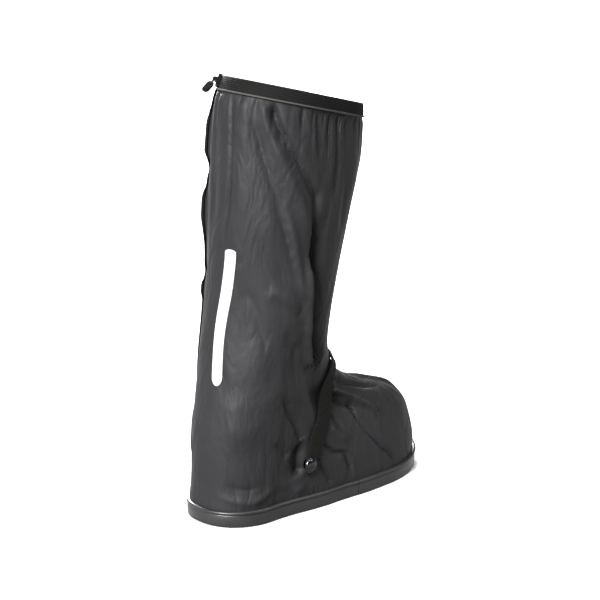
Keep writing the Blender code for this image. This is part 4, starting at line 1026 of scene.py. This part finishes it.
# Heights and rims in millimetres, as the route is, and widths in metres
TRIANGLE_GIRTH = 0.855
TRIANGLE_FOOT, TRIANGLE_HEIGHT, TRIANGLE_RIM = 64, 34, 2.2
TRIANGLE_WIDTH = 0.028
TRIANGLE_STEPS = 30
# How much of its width the triangle has lost at its tip
TIP_TAPER = 0.97


def triangle_mesh(rim, lift, thickness):
    """A film in the triangle's shape, wider by this rim all round."""
    foot = TRIANGLE_FOOT - rim
    height = TRIANGLE_HEIGHT + 4 * rim
    up = np.linspace(0, 1, TRIANGLE_STEPS)
    path = wall_route([(foot + height * k / 2, TRIANGLE_GIRTH) for k in range(3)], 0.001, up)
    half = (TRIANGLE_WIDTH + 4 * rim / 1000) / 2 * (1 - up * TIP_TAPER)
    return ribbon_mesh(path, [(half * (-1 + k / 6), 1.0) for k in range(13)], lift, thickness)


# Black screen ink: matt, with a slight grain from the cloth below, drawn at 1.1 mm.
black_ink = grained("black screen ink", 1.11, 3.0, "#060606", "#0e0e0e", Roughness=0.55)
new_piece("reflector_ground", triangle_mesh(TRIANGLE_RIM, 0.0002, 0.0003), black_ink,
          stands_for="heel_reflector_border")
# Silver bead film: grey by day, with a fine bright grain drawn at 0.9 mm.
silver_film = grained("silver bead film", 0.909, 0.0, "#77777a", "#5c5c5f", beads=True, Metallic=0.35,
                      Roughness=0.38)
new_piece("reflector_film", triangle_mesh(0.0, 0.0006, 0.0004), silver_film,
          stands_for="heel_reflector")

# RUBBER BAND
# Calendered rubber strip cemented round the upper's foot and the sole's edge in two lengths, which
# butt on both sides of the forefoot. A raised bead runs along its top.
FOXING_HEIGHT = 0.0155
FOXING_THICKNESS = 0.0020
TOE_JOINT = 0.470
JOINT_GAP_SHARE = 0.0006


def foxing_mesh(start, end, proud, count):
    """One length of the band: its face, its bead and the lip behind it."""
    girths = np.linspace(start, end, count)
    face = 0.0003 + FOXING_THICKNESS + proud
    top = FOXING_HEIGHT
    profile = (
        (0.0004, face - 0.0008), (0.0007, face - 0.0002), (0.0014, face), (0.0060, face + 0.0001),
        (top - 0.0042, face), (top - 0.0036, face - 0.0003), (top - 0.0031, face + 0.0003),
        (top - 0.0024, face + 0.0008), (top - 0.0014, face + 0.0009), (top - 0.0005, face + 0.0005),
        (top, face - 0.0004), (top + 0.0001, face - 0.0014))
    outer, inner = [], []
    point, normal, _, _ = wall_frame(0.0, girths)
    for height, out in profile:
        for sheet, offset in ((outer, out), (inner, SKIN)):
            line = point + normal * offset
            line[:, 2] = height + sole_line(line[:, 0])
            sheet.append(line)
    return sheet_mesh(np.array(outer), np.array(inner))


# Vulcanised rubber: dark grey, satin, faintly cloth-marked from the moulding, dusty in its lows. The
# dust lies in patches 22 mm wide, and the marks are drawn at 1.4 mm.
band_rubber = grained("vulcanised band rubber", 22.2, 6.0, "#1c1c1c", "#262626", gloss=(0.28, 0.46),
                      relief=(0.3, 0.0003), relief_mm=1.43, Roughness=0.36, Specular_IOR_Level=0.3)
for name, start, end, proud, count in (("toe", -TOE_JOINT, TOE_JOINT, 0.0002, 240),
                                       ("rear", TOE_JOINT, 2 - TOE_JOINT, 0.0, 300)):
    length = foxing_mesh(start + JOINT_GAP_SHARE, end - JOINT_GAP_SHARE, proud, count)
    new_piece("band_" + name, length, band_rubber, stands_for="foxing_" + name)

# SOLE AND INSOLE
# The sole is one moulding of tougher rubber with cross lugs and a plain arch, and the insole a thin
# board with a brushed facing. Both are the CAD solids, with their finishes.

# Moulded rubber: grey black and dry, with 33 mm patches of dust and a 1.1 mm grain.
sole_rubber = grained("moulded sole rubber", 33.3, 6.0, "#181818", "#202020", relief=(0.4, 0.0003),
                      relief_mm=1.11, Roughness=0.6, IOR=1.52)
dress("outsole", sole_rubber)

# Brushed polyester: a dull dark grey nap, drawn at 1.7 mm.
brushed_facing = grained("brushed polyester facing", 1.67, 4.0, "#1e1e1f", "#2c2c2e",
                         relief=(0.6, 0.0004), Roughness=0.9)
dress("insole", brushed_facing)
